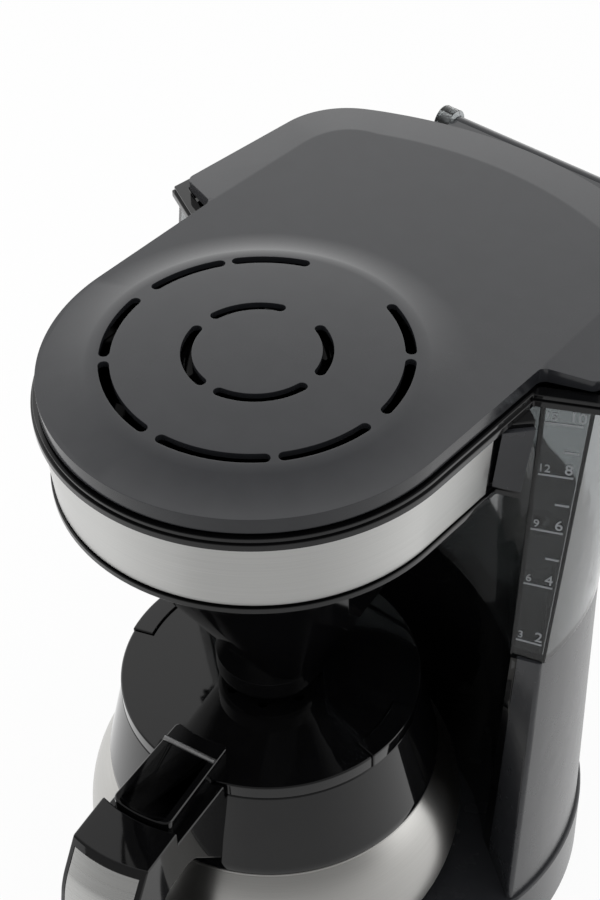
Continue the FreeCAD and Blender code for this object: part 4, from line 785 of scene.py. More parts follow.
def shoulder_plan(front_r: float, inner_y: float, outer: Point, rear_x: float, rear_r: float, z: float,
                  corner_r: float = 0.0) -> BMesh:
    """Plan of lid and frame as one face: round front, straight sides, shoulders and an arc at the rear.

    Args:
        front_r: Radius of the front.
        inner_y: Where the straight side ends.
        outer: Outer corner of the shoulder.
        rear_x: Half width at the rear corners.
        rear_r: Radius of the rear edge.
        z: Level of the plan.
        corner_r: Radius of the rear corners.

    Returns:
        The face in a mesh of its own.
    """
    rear_y = math.sqrt(rear_r ** 2 - rear_x ** 2)
    bm = bmesh.new()
    front_steps, corner_steps, rear_steps = 60, 14, 34
    pen = sweep(bm, bm.verts.new((0.0, -front_r, z)), 90.0, front_steps)
    pen = run(bm, pen, (front_r, inner_y, z), (*outer, z))
    way = (Vector((rear_x, rear_y)) - Vector(outer)).normalized()
    inward = Vector((-way.y, way.x))
    base = Vector(outer) + corner_r * inward
    along = base.dot(way)
    centre = base + way * (math.sqrt(along ** 2 - base.length_squared + (rear_r - corner_r) ** 2) - along)
    pen = run(bm, pen, (*(centre - corner_r * inward), z))
    if corner_r:
        pen = sweep(bm, pen, math.degrees((-inward).angle(centre)), corner_steps, Vector((*centre, z)))
    sweep(bm, pen, math.degrees(math.atan2(centre.x, centre.y)), rear_steps)
    mirror_x(bm)
    fill(bm)
    return bm


@dataclass
class Lid:
    """Hinged lid with its vented cap."""

    front_r: float = 82.5
    inner_y: float = 64.5
    outer: Point = (102.8, 72.0)
    rear_x: float = 95.5
    rear_r: float = 176.8
    fold_side: Point = (80.5, 118.0)
    fold_corner: Point = (80.0, 141.5)
    fold_rear: Point = (60.0, 145.1)
    fold_w: float = 0.8
    slope_w: float = 20.5
    slope_drop: float = 1.9
    skirt_z: float = 322.5
    top_z: float = 329.4
    corner_r: float = 4.0
    rear_corner_r: float = 34.0
    edge: float = 1.3
    foot_edge: float = 0.5
    foot_h: float = 1.0
    pan: float = 1.6
    cap_foot_r: float = 80.4
    cap_edge_r: float = 62.0
    cap_h: float = 4.4
    crown: float = 2.0
    cap_rings: tuple[float, ...] = (0.0, 10.0, 20.0, 32.0, 44.0, 51.0)
    cap_round: float = 26.0
    cap_sunk: float = 0.5
    cap_steps: int = 108
    wall: float = 2.5
    slot_w: float = 4.2
    slot_edge: float = 0.2
    slot_deep: float = 1.0
    bore_over: Point = (5.0, 1.0)
    slots: dict[float, tuple[Point, ...]] = field(default_factory=lambda: {
        56.7: ((22.5, 49.3), (56.2, 84.2), (96.4, 129.0), (136.0, 175.3)),
        26.3: ((22.0, 77.6), (100.7, 170.2)),
    })
    hinge_y: float = 178.5
    hinge_z: float = 323.5
    hinge_r: float = 4.2
    hinge_half: float = 43.5
    hinge_edge: float = 0.6
    strap_l: float = 16.0
    strap_in: float = 0.5
    strap_sunk: float = 0.2

    def plate(self) -> BMesh:
        """The flat of the lid with its skirt, rear slope and rounded edges.

        Returns:
            The closed shape.
        """
        z = self.skirt_z
        bm = shoulder_plan(self.front_r, self.inner_y, self.outer, self.rear_x, self.rear_r, z,
                           self.rear_corner_r)
        for side in (1, -1):
            round_corner(bm, (side * self.front_r, self.inner_y, z), self.corner_r)
            round_corner(bm, (side * self.outer[0], self.outer[1], z), self.corner_r)
        raise_faces(bm, bm.faces[:], UP * (self.top_z - z))
        self.slope(bm)
        bevel(bm, crisp(bm, lambda e: min(v.co.z for v in e.verts) > z + self.foot_h), self.edge, 4)
        under = facing(bm, -UP)
        inset(bm, under, self.wall)
        raise_faces(bm, under, UP * self.pan)
        bevel(bm, crisp(bm, lambda e: max(v.co.z for v in e.verts) < z + NEAR), self.foot_edge, 2)
        return bm

    def fold(self) -> list[Vector]:
        """Line from shoulder to shoulder along which the rim of the top slopes away.

        Returns:
            Its points, from right to left.
        """
        side, corner, rear = (Vector(point) for point in (self.fold_side, self.fold_corner, self.fold_rear))
        start = Vector((self.front_r, self.inner_y))
        side_steps, corner_steps, rear_steps = 18, 12, 20
        half = [start.lerp(side, i / side_steps) for i in range(1, side_steps)]
        for i in range(corner_steps + 1):
            t = i / corner_steps
            half.append(side.lerp(corner, t).lerp(corner.lerp(rear, t), t))
        bearing = math.atan2(rear.x, rear.y)
        turns = [bearing * i / rear_steps for i in range(rear_steps - 1, -1, -1)]
        half += [rear.length * Vector((math.sin(a), math.cos(a))) for a in turns]
        line = half + [Vector((-point.x, point.y)) for point in reversed(half[:-1])]
        return [Vector((*point, self.top_z)) for point in line]

    def slope(self, bm: BMesh) -> None:
        """Slopes the rim of the top away from the fold.

        Args:
            bm: Mesh of the plate.
        """
        top = max(bm.faces, key=lambda f: f.calc_center_median().z)
        ends = [min(top.verts, key=lambda v: (v.co.xy - Vector((side * self.front_r, self.inner_y))).length)
                for side in (1, -1)]
        line = self.fold()
        bmesh.utils.face_split(top, ends[0], ends[1], coords=line)
        bm.normal_update()
        bevel(bm, [e for e in bm.edges if all(f.normal.z > FACING for f in e.link_faces)], self.fold_w, 1)
        rim = sorted(facing(bm, UP), key=lambda f: f.calc_area())[-2]
        fall = self.slope_drop / self.slope_w
        for vert in rim.verts:
            vert.co.z -= fall * min((vert.co - point).xy.length for point in line)
        bmesh.ops.triangulate(bm, faces=[rim], quad_method="BEAUTY", ngon_method="BEAUTY")

    def cap(self) -> BMesh:
        """The raised round cap as a shell, with its foot sunk in the plate.

        Returns:
            The closed shape.
        """
        edge_z = self.top_z + self.cap_h
        dome_r = (self.cap_edge_r ** 2 + self.crown ** 2) / (2 * self.crown)
        dome = [(r, edge_z + self.crown - dome_r + math.sqrt(dome_r ** 2 - r * r)) for r in self.cap_rings]
        flank = [(self.cap_edge_r, edge_z), (self.cap_foot_r, self.top_z)]
        sunk_r = self.cap_foot_r + self.cap_sunk
        sunk = [(sunk_r, self.top_z - self.cap_sunk), (sunk_r, self.top_z - self.wall)]
        inside = [(self.cap_foot_r - self.wall, self.top_z - self.wall),
                  (self.cap_edge_r, edge_z - self.wall)]
        inside += [(r, z - self.wall) for r, z in reversed(dome)]
        return lathe(dome + flank + sunk + inside, {len(dome): self.cap_round}, self.cap_steps)

    def slot_cutter(self, radius: float, start: float, end: float) -> BMesh:
        """Upright prism of a curved slot with round ends.

        Args:
            radius: Radius of its middle line.
            start: Bearing of its start in degrees from the rear.
            end: Bearing of its end.

        Returns:
            The closed shape.
        """
        side_steps, end_steps = 14, 8
        ends = (math.radians(start), math.radians(end))
        near, far = (Vector((math.sin(a), math.cos(a), 0.0)) for a in ends)
        level = UP * self.skirt_z
        bm = bmesh.new()
        pen = bm.verts.new(near * (radius + self.slot_w / 2) + level)
        pen = sweep(bm, pen, start - end, side_steps)
        pen = sweep(bm, pen, -180.0, end_steps, far * radius + level)
        pen = sweep(bm, pen, end - start, side_steps)
        sweep(bm, pen, -180.0, end_steps, near * radius + level)
        weld(bm)
        fill(bm)
        raise_faces(bm, bm.faces[:], UP * (2 * self.cap_h + self.top_z - self.skirt_z))
        return bm

    def hinge(self) -> BMesh:
        """Barrel of the hinge and the strap that holds it.

        Returns:
            The two closed shapes in one mesh.
        """
        bm = bar_x(self.hinge_r, self.hinge_half, self.hinge_y, self.hinge_z)
        bevel(bm, crisp(bm, angle=SQUARE), self.hinge_edge, 2)
        low = self.skirt_z + self.strap_sunk
        high = self.top_z - self.slope_drop - self.strap_sunk
        take_in(bm, box((2 * (self.hinge_half - self.strap_in), self.strap_l, high - low),
                        (0.0, self.hinge_y - self.strap_l / 2, (low + high) / 2)))
        return bm

    def build(self) -> None:
        """Builds the lid and dresses it."""
        bm = self.plate()
        combine(bm, cylinder(self.cap_foot_r - self.wall / 2, self.skirt_z - self.bore_over[0],
                             self.top_z + self.bore_over[1], BORE_STEPS))
        combine(bm, self.cap(), "UNION")
        cutters = bmesh.new()
        for radius, spans in self.slots.items():
            for start, end in spans:
                take_in(cutters, self.slot_cutter(radius, start, end))
                take_in(cutters, self.slot_cutter(radius, -end, -start))
        combine(bm, cutters)
        over = self.top_z + self.cap_h - self.slot_deep
        rims = crisp(bm, lambda e: min(v.co.z for v in e.verts) > over, SQUARE)
        bevel(bm, rims, self.slot_edge, 2, clamp=False)
        take_in(bm, self.hinge())
        publish(bm, "lid_moulding", CHARCOAL, Body.LID, ("lid_cover",))


@dataclass
class TopFrame:
    """Black frame under the lid: an outer lip, a finer bead above it and a low deck inside."""

    front_r: float = 85.0
    inner_y: float = 57.0
    outer: Point = (110.2, 70.0)
    rear_x: float = 100.0
    rear_r: float = 177.0
    bottom_z: float = 316.5
    step_z: float = 319.3
    top_z: float = 321.5
    deck_z: float = 318.0
    step: float = 0.9
    lip_w: float = 6.0
    corner_r: float = 3.0
    upright_h: float = 1.0
    upright_angle: float = 20.0
    edge: float = 0.55
    bore_r: float = 78.5
    over: float = 2.0
    mouth_h: float = 8.0
    mouth_steps: int = 24
    mouth_front: Point = (99.2, 97.0)
    mouth_rear: Point = (95.0, 141.6)
    hinge_y: float = 178.5
    hinge_z: float = 323.5
    hinge_clear: float = 5.1
    hinge_half: float = 51.1

    def mouth(self) -> BMesh:
        """Prism of the opening over the tank.

        Returns:
            The closed shape.
        """
        low = self.bottom_z - self.over
        bm = bmesh.new()
        pen = run(bm, bm.verts.new((0.0, self.mouth_front[1], low)), (*self.mouth_front, low),
                  (*self.mouth_rear, low))
        sweep(bm, pen, math.degrees(math.atan2(*self.mouth_rear)), self.mouth_steps)
        mirror_x(bm)
        fill(bm)
        raise_faces(bm, bm.faces[:], UP * self.mouth_h)
        return bm

    def build(self) -> None:
        """Builds the frame and dresses it."""
        z = self.bottom_z
        bm = shoulder_plan(self.front_r, self.inner_y, self.outer, self.rear_x, self.rear_r, z)
        raise_faces(bm, bm.faces[:], UP * (self.step_z - z))
        top = facing(bm, UP)
        inset(bm, top, self.step)
        raise_faces(bm, top, UP * (self.top_z - self.step_z))
        top = [f for f in facing(bm, UP) if f.calc_center_median().z > self.top_z - NEAR]
        inset(bm, top, self.lip_w - self.step)
        raise_faces(bm, top, UP * (self.deck_z - self.top_z))
        uprights = crisp(bm, lambda e: abs(e.verts[0].co.z - e.verts[1].co.z) > self.upright_h,
                         self.upright_angle)
        bevel(bm, uprights, self.corner_r, 6)
        bevel(bm, crisp(bm, lambda e: e.is_convex), self.edge, 3)
        combine(bm, cylinder(self.bore_r, z - self.over, self.top_z + self.over, BORE_STEPS))
        combine(bm, self.mouth())
        combine(bm, bar_x(self.hinge_clear, self.hinge_half, self.hinge_y, self.hinge_z))
        publish(bm, "top_frame", GLOSS_BLACK, Body.MACHINE, ("head_frame",))


@dataclass
class FilterHead:
    """Steel band, black housing and grey side panels round the filter."""

    low_r: float = 80.3
    high_r: float = 82.8
    low_z: float = 284.3
    high_z: float = 316.4
    end_y: float = 36.0
    thick: float = 0.8
    steps: int = 120
    edge: float = 0.15
    housing_ease: float = 0.5
    panel_ease: float = 0.4

    def band(self) -> None:
        """Brushed band round the front, open at the rear."""
        bm = bmesh.new()
        rim = bm.edges.new((bm.verts.new((self.low_r, self.end_y, self.low_z)),
                            bm.verts.new((self.high_r, self.end_y, self.high_z))))
        for way in ((0.0, -self.end_y, 0.0), None, (0.0, self.end_y, 0.0)):
            if way is None:
                made = bmesh.ops.spin(bm, geom=[rim, *rim.verts], cent=(0, 0, 0), axis=UP, angle=-math.pi,
                                      steps=self.steps)["geom_last"]
            else:
                made = bmesh.ops.extrude_edge_only(bm, edges=[rim])["geom"]
                bmesh.ops.translate(bm, verts=[g for g in made if isinstance(g, BMVert)], vec=way)
            rim = next(g for g in made if isinstance(g, BMEdge))
        weld(bm)
        bm.normal_update()
        if sum(f.normal.dot(f.calc_center_median() * Vector((1, 1, 0))) for f in bm.faces) < 0:
            bmesh.ops.reverse_faces(bm, faces=bm.faces[:])
        bmesh.ops.solidify(bm, geom=bm.faces[:], thickness=self.thick)
        outwards(bm)
        bevel(bm, crisp(bm, angle=SQUARE), self.edge, 2)
        publish(bm, "steel_band_strip", BRUSHED_BAND, Body.MACHINE, ("steel_band",))

    def build(self) -> None:
        """Builds the head's outside and dresses it."""
        self.band()
        eased_copy("head_housing", "head_moulding", GLOSS_BLACK, Body.MACHINE, self.housing_ease)
        for side in ("right", "left"):
            eased_copy(f"side_panel_{side}", f"head_panel_{side}", DARK_GREY, Body.MACHINE, self.panel_ease)


@dataclass
class Basket:
    """Filter basket, the facets under the head's rim beside it, and the spring of its drip stop."""

    ease: float = 0.5
    lip_r: float = 78.4
    lip_z: float = 280.7
    inner_r: float = 62.0
    bearings: tuple[float, ...] = (44.0, 51.0, 65.0, 80.0)
    apex: Place = (56.6, -16.4, 235.5)
    apex_in: float = 0.86
    facet_angle: float = 8.0
    facet_edge: float = 0.35
    facet_sharp: float = 5.0
    spring_r: float = 6.4
    spring_wire: float = 0.6
    spring_turns: int = 6

    def gusset(self) -> BMesh:
        """Fans of flat facets under the rim, right and left, that run together at a point on the wedge.

        Returns:
            The two closed shapes in one mesh.
        """
        bm = bmesh.new()
        for bearing in self.bearings:
            a = math.radians(bearing)
            for radius in (self.lip_r, self.inner_r):
                bm.verts.new((radius * math.sin(a), -radius * math.cos(a), self.lip_z))
        tip = Vector(self.apex)
        for share in (1.0, self.apex_in):
            bm.verts.new((tip.x * share, tip.y * share, tip.z))
        bmesh.ops.convex_hull(bm, input=bm.verts[:])
        bmesh.ops.delete(bm, geom=[v for v in bm.verts if not v.link_faces], context="VERTS")
        bevel(bm, crisp(bm, lambda e: e.is_convex, self.facet_angle), self.facet_edge, 2)
        mirror_x(bm)
        outwards(bm)
        return bm

    def build(self) -> None:
        """Builds the basket and dresses it."""
        eased_copy("filter_basket", "basket_moulding", GLOSS_BLACK, Body.FILTER, self.ease)
        publish(self.gusset(), "head_gussets", GLOSS_BLACK, Body.MACHINE, sharp=self.facet_sharp)
        coil("drip_spring", "drip_spring_coil", Body.FILTER, self.spring_r, self.spring_wire,
             self.spring_turns)


@dataclass
class Jug:
    """Thermal jug: satin steel shell, black collar with its spout, base cap, handle and steel inlay."""

    foot_z: float = 37.2
    ring_h: float = 6.0
    foot_r: float = 74.0
    belly: Point = (83.4, 76.0)
    shell_top_r: float = 71.0
    shell_steps: int = 24
    skin: float = 0.8
    collar_z: float = 111.0
    collar_r: float = 72.5
    collar_knee: float = 3.0
    collar_top: Point = (64.3, 151.8)
    collar_rounds: dict[int, float] = field(default_factory=lambda: {0: 0.8, 1: 12.0, 2: 1.0})
    wall: float = 3.0
    spout_up: float = 1.0
    spout_steps: int = 10
    spout_half: float = 9.5
    spout_r: float = 73.3
    half: float = 17.8
    handle: tuple[Place, ...] = (
        (66.2, 159.7, 0.0), (99.4, 159.7, 0.0), (99.4, 166.8, 0.8), (120.0, 165.5, 1.6),
        (131.0, 148.0, 28.0), (137.0, 118.0, 60.0), (131.0, 84.0, 28.0), (112.0, 50.0, 10.0),
        (76.2, 50.0, 0.0), (80.6, 69.0, 0.0), (112.0, 84.0, 10.0), (118.0, 118.0, 41.0),
        (112.0, 138.5, 10.0), (91.5, 140.7, 10.0), (70.4, 116.0, 0.0), (63.4, 151.2, 0.0),
        (66.2, 152.4, 0.0))
    inlay: tuple[Place, ...] = (
        (121.9, 162.3, 0.0), (131.0, 148.0, 28.0), (137.0, 118.0, 60.0), (132.06, 90.0, 0.0))
    corner_steps: int = 8
    cross_cuts: int = 9
    inlay_over: float = 1.0
    inlay_t: float = 1.0
    inlay_margin: float = 2.4
    seam: float = 0.2
    crown: float = 2.6
    bead: float = 0.5
    bead_round: float = 0.6
    flare: Point = (1.2, 1.6)
    collar_step: float = 2.5
    spout_edge: float = 1.2
    foot_ease: float = 0.8
    handle_edge: float = 1.6
    inlay_edge: float = 0.3

    def shell_side(self, grow: float) -> list[Point]:
        """Bulged side of the shell from foot to collar, grown outwards.

        Args:
            grow: How far it is grown.

        Returns:
            Its points as radius and level, from the foot up.
        """
        low = (self.foot_r + grow, self.foot_z + self.ring_h)
        mid = (self.belly[0] + grow, self.belly[1])
        return bow(low, mid, (self.shell_top_r + grow, self.collar_z), self.shell_steps)

    def collar(self) -> BMesh:
        """Collar between shell and lid, with the spout at its rear.

        Returns:
            The closed shapes in one mesh.
        """
        top_r, top_z = self.collar_top
        z = self.collar_z
        knee_z = z + self.collar_knee
        inner = self.collar_r - self.wall - self.collar_step
        bm = lathe([(self.collar_r, z), (self.collar_r, knee_z), (top_r, top_z),
                    (top_r - 2 * self.wall, top_z), (inner, knee_z), (inner, z), (self.collar_r, z)],
                   self.collar_rounds, TURN_STEPS)
        foot = z + self.spout_up
        spout = lathe([(inner, foot), (self.collar_r - NEAR, foot), (self.spout_r, top_z),
                       (top_r - self.wall, top_z), (inner, foot)],
                      steps=self.spout_steps, degrees=2 * self.spout_half, start=90.0 - self.spout_half)
        bevel(spout, crisp(spout, angle=SQUARE), self.spout_edge, 3)
        take_in(bm, spout)
        return bm

    def bar(self, points: Sequence[Place], margin: float) -> BMesh:
        """Draws a side view out to the handle's width, bowed across.

        Args:
            points: Corners as reach from the brew axis, level and corner radius.
            margin: Room left at each side.

        Returns:
            The closed shape.
        """
        bm = bmesh.new()
        corners = [(0.0, -reach, level) for reach, level, _ in points]
        first = bm.verts.new(corners[0])
        bm.edges.new((run(bm, first, *corners[1:]), first))
        for corner, (_, _, radius) in zip(corners, points):
            if radius:
                round_corner(bm, corner, radius, self.corner_steps)
        fill(bm)
        raise_faces(bm, bm.faces[:], (1.0, 0.0, 0.0))
        half = self.half - margin
        for vert in bm.verts:
            vert.co.x = half if vert.co.x > 0.5 else -half
        across = [e for e in bm.edges if e.verts[0].co.x * e.verts[1].co.x < 0]
        bmesh.ops.subdivide_edges(bm, edges=across, cuts=self.cross_cuts, use_grid_fill=True)
        for vert in bm.verts:
            vert.co.y += self.crown * (vert.co.x / self.half) ** 2
        outwards(bm)
        return bm

    def strip(self, out: float, deep: float, slack: float) -> BMesh:
        """The inlay's bent strip.

        Args:
            out: How far its face stands out of the handle.
            deep: How far its back lies inside the handle.
            slack: How much it is wider at each side.

        Returns:
            The closed shape.
        """
        face = [(reach + out, level, radius) for reach, level, radius in self.inlay]
        back = [(reach - deep, level, radius) for reach, level, radius in reversed(self.inlay)]
        return self.bar(face + back, self.inlay_margin - slack)

    def build(self) -> None:
        """Builds the jug and dresses it."""
        outer = [*self.shell_side(0.0), (self.collar_r + self.bead, self.collar_z - NEAR)]
        inner = self.shell_side(-self.skin)
        outer[-2] = (self.shell_top_r + self.flare[0], self.collar_z - self.flare[1])
        wall = lathe([*outer, *reversed(inner), outer[0]], {len(outer) - 1: self.bead_round}, TURN_STEPS)
        publish(wall, "jug_shell_wall", SATIN_SHELL, Body.JUG, ("jug_shell",), JUG_TURN)
        publish(self.collar(), "jug_collar_ring", GLOSS_BLACK, Body.JUG, ("jug_collar",), JUG_TURN)
        eased_copy("jug_base_cap", "jug_foot_ring", GLOSS_BLACK, Body.JUG, self.foot_ease)
        grip = self.bar(self.handle, 0.0)
        rims = crisp(grip, lambda e: e.verts[0].co.x * e.verts[1].co.x > 0, SQUARE)
        bevel(grip, rims, self.handle_edge, 4)
        combine(grip, self.strip(self.inlay_over, self.inlay_t + self.seam, self.seam))
        publish(grip, "jug_handle_grip", GLOSS_BLACK, Body.JUG, ("jug_handle",), JUG_TURN)
        plate = self.strip(0.0, self.inlay_t, 0.0)
        bevel(plate, crisp(plate, angle=SQUARE), self.inlay_edge, 2)
        publish(plate, "handle_inlay_strip", BRUSHED_INLAY, Body.JUG, ("handle_inlay",), JUG_TURN)


@dataclass
class JugLid:
    """Jug lid with its tongue over the handle, grips, thumb lever and the spring of the pour valve."""

    top_z: float = 158.7
    rim_r: float = 64.3
    skirt: float = 6.6
    rim_w: float = 1.8
    under: float = 4.2
    deck: float = 2.5
    plug_r: float = 53.7
    plug_z: float = 136.7
    plug_t: float = 2.0
    port_r: float = 36.0
    boss_r: float = 14.0
    boss_top_r: float = 3.5
    boss_h: float = 2.4
    rounds: dict[int, float] = field(default_factory=lambda: {1: 1.0, 2: 6.0, 3: 0.9, 4: 0.4})
    holes: int = 8
    hole_r: float = 2.2
    hole_steps: int = 32
    hole_at: float = 20.0
    grip_arc: float = 28.0
    grip_steps: int = 24
    grip_w: float = 9.0
    grip_h: float = 6.6
    grip_out: float = 0.5
    grip_up: float = 0.5
    grip_edge: float = 0.6
    gap: float = 0.7
    grip_at: float = -3.5
    tongue_z: float = 160.0
    reach_in: float = 53.0
    reach_out: float = 98.4
    half_in: float = 12.5
    half_out: float = 13.6
    high_in: float = 169.2
    high_out: float = 168.8
    bow: float = 1.6
    rim_in: float = 9.0
    rim_out: float = 1.2
    rim_side: float = 3.6
    tongue_corner: float = 3.2
    tongue_edge: float = 0.75
    tongue_low: float = 2.0
    foot_in: float = 0.1
    foot_sunk: float = 1.0
    foot_h: float = 3.0
    foot_clear: float = 0.3
    foot_over: Point = (2.0, 4.0)
    pocket_z: float = 161.6
    pocket_corner: float = 2.6
    lever_gap: float = 0.4
    lever_t: float = 2.0
    lever_sunk: float = 1.5
    lever_corner: float = 2.2
    lever_edge: float = 0.5
    lever_fold: float = 50.0
    dish_w: float = 1.6
    dish_d: float = 0.5
    pin_reach: float = 61.5
    knuckle_r: float = 2.2
    spring_r: float = 5.0
    spring_wire: float = 0.55
    spring_turns: int = 7
    spring_keep: float = 0.65

    def plan(self, near: float, far: float, side: float, corner: float, z: float) -> BMesh:
        """Plan of the tongue as one face with bowed ends, moved inwards.

        Args:
            near: Room left at the end over the lid.
            far: Room left at the end over the handle.
            side: Room left at each side.
            corner: Radius of its corners.
            z: Level of the plan.

        Returns:
            The face in a mesh of its own.
        """
        ends = ((self.half_in - side, -self.reach_in - near), (self.half_out - side, -self.reach_out + far))
        steps = 5
        bm = bmesh.new()
        path = [(ends[0][0] * i / steps, ends[0][1], z) for i in range(1, steps + 1)]
        path += [(ends[1][0] * i / steps, ends[1][1], z) for i in range(steps, -1, -1)]
        run(bm, bm.verts.new((0.0, ends[0][1], z)), *path)
        mirror_x(bm)
        fill(bm)
        for vert in bm.verts:
            vert.co.y += self.bow * (vert.co.x / self.half_in) ** 2
        for x, y in ends:
            for way in (1, -1):
                round_corner(bm, (way * x, y + self.bow * (x / self.half_in) ** 2, z), corner)
        return bm

    def slope(self, y: float) -> float:
        """Level of the tongue's sloped top."""
        share = (-y - self.reach_in) / (self.reach_out - self.reach_in)
        return self.high_in + share * (self.high_out - self.high_in)

    def tongue(self) -> BMesh:
        """Raised frame over the handle, with the pocket of the lever and its foot on the lid.

        Returns:
            The closed shapes in one mesh.
        """
        bm = self.plan(0.0, 0.0, 0.0, self.tongue_corner, self.tongue_z)
        top = raise_faces(bm, bm.faces[:], UP)
        for vert in top[0].verts:
            vert.co.z = self.slope(vert.co.y)
        pocket = self.plan(self.rim_in, self.rim_out, self.rim_side, self.pocket_corner, self.pocket_z)
        raise_faces(pocket, pocket.faces[:], UP * (self.high_in - self.pocket_z + 1))
        combine(bm, pocket)
        rims = crisp(bm, lambda e: min(v.co.z for v in e.verts) > self.tongue_z + self.tongue_low)
        bevel(bm, rims, self.tongue_edge, 4, clamp=False)
        foot_corner = self.tongue_corner - self.foot_in
        foot = self.plan(self.foot_in, self.foot_in, self.foot_in, foot_corner,
                         self.top_z - self.foot_sunk)
        raise_faces(foot, foot.faces[:], UP * self.foot_h)
        within = cylinder(self.rim_r - self.foot_clear, self.top_z - self.foot_over[0],
                          self.tongue_z + self.foot_over[1])
        combine(foot, within, "INTERSECT")
        take_in(bm, foot)
        return bm

    def grip(self, bearing: float, grow: float, up: float) -> BMesh:
        """Tile of a finger grip on the rim, grown by a gap and raised at the top.

        Args:
            bearing: Bearing of its middle in degrees.
            grow: How far it is grown all round.
            up: How far it stands above the lid.

        Returns:
            The closed shape.
        """
        low = self.top_z - self.grip_h - grow
        inner = self.rim_r - self.grip_w - grow
        outer = self.rim_r + self.grip_out + 4 * grow
        arc = self.grip_arc + 2 * math.degrees(grow / self.rim_r)
        high = self.top_z + up
        return lathe([(inner, low), (outer, low), (outer, high), (inner, high), (inner, low)],
                     steps=self.grip_steps, degrees=arc, start=bearing - arc / 2)

    def body(self) -> BMesh:
        """Turned body of the lid with its plug, brew holes and grip recesses.

        Returns:
            The closed shape.
        """
        top = self.top_z
        low = top - self.skirt
        neck = self.plug_r - self.plug_t
        plug_top = self.plug_z + self.plug_t
        bm = lathe([(0.0, top + self.boss_h), (self.boss_top_r, top + self.boss_h), (self.boss_r, top),
                    (self.rim_r, top), (self.rim_r, low), (self.rim_r - self.rim_w, low),
                    (self.rim_r - self.rim_w, top - self.under), (self.plug_r, top - self.under),
                    (self.plug_r, self.plug_z), (self.port_r, self.plug_z), (self.port_r, plug_top),
                    (neck, plug_top), (neck, top - self.deck), (0.0, top - self.deck)],
                   self.rounds, TURN_STEPS)
        cutters = bmesh.new()
        for i in range(self.holes):
            a = 2 * math.pi * (i + 0.5) / self.holes
            hole = cylinder(self.hole_r, top - 2 * self.deck, top + self.deck, self.hole_steps)
            place = (self.hole_at * math.cos(a), self.hole_at * math.sin(a), 0)
            bmesh.ops.translate(hole, verts=hole.verts[:], vec=place)
            take_in(cutters, hole)
        for bearing in (self.grip_at, self.grip_at + 180.0):
            take_in(cutters, self.grip(bearing, self.gap, self.deck))
        combine(bm, cutters)
        return bm

    def lever(self) -> BMesh:
        """Dished thumb lever that fills the tongue's pocket.

        Returns:
            The closed shapes in one mesh.
        """
        gap = self.lever_gap
        bm = self.plan(self.rim_in + gap, self.rim_out + gap, self.rim_side + gap, self.lever_corner,
                       self.pocket_z)
        top = raise_faces(bm, bm.faces[:], UP)
        for vert in bm.verts:
            sunk = self.lever_sunk if vert in top[0].verts else self.lever_sunk + self.lever_t
            vert.co.z = self.slope(vert.co.y) - sunk
        bm.normal_update()
        inset(bm, top, self.dish_w, self.dish_d)
        outwards(bm)
        bevel(bm, crisp(bm, angle=self.lever_fold), self.lever_edge, 3)
        pin_z = self.slope(-self.pin_reach) - self.lever_sunk - self.lever_t
        take_in(bm, bar_x(self.knuckle_r, self.half_in - 2 * self.rim_side, -self.pin_reach, pin_z))
        return bm

    def build(self) -> None:
        """Builds the lid and dresses it."""
        bm = self.body()
        take_in(bm, self.tongue())
        publish(bm, "jug_lid_moulding", GLOSS_BLACK, Body.JUG_LID, ("jug_lid",), JUG_TURN)
        tiles = bmesh.new()
        for bearing in (self.grip_at, self.grip_at + 180.0):
            tile = self.grip(bearing, 0.0, self.grip_up)
            bevel(tile, crisp(tile, angle=SQUARE), self.grip_edge, 3)
            take_in(tiles, tile)
        publish(tiles, "lid_grip_tiles", GLOSS_BLACK, Body.JUG_LID, ("lid_grips",), JUG_TURN)
        publish(self.lever(), "thumb_lever_pad", GLOSS_BLACK, Body.LEVER, ("thumb_lever",), JUG_TURN)
        spring = coil("pour_spring", "pour_spring_coil", Body.JUG_LID, self.spring_r, self.spring_wire,
                      self.spring_turns)
        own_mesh(spring)


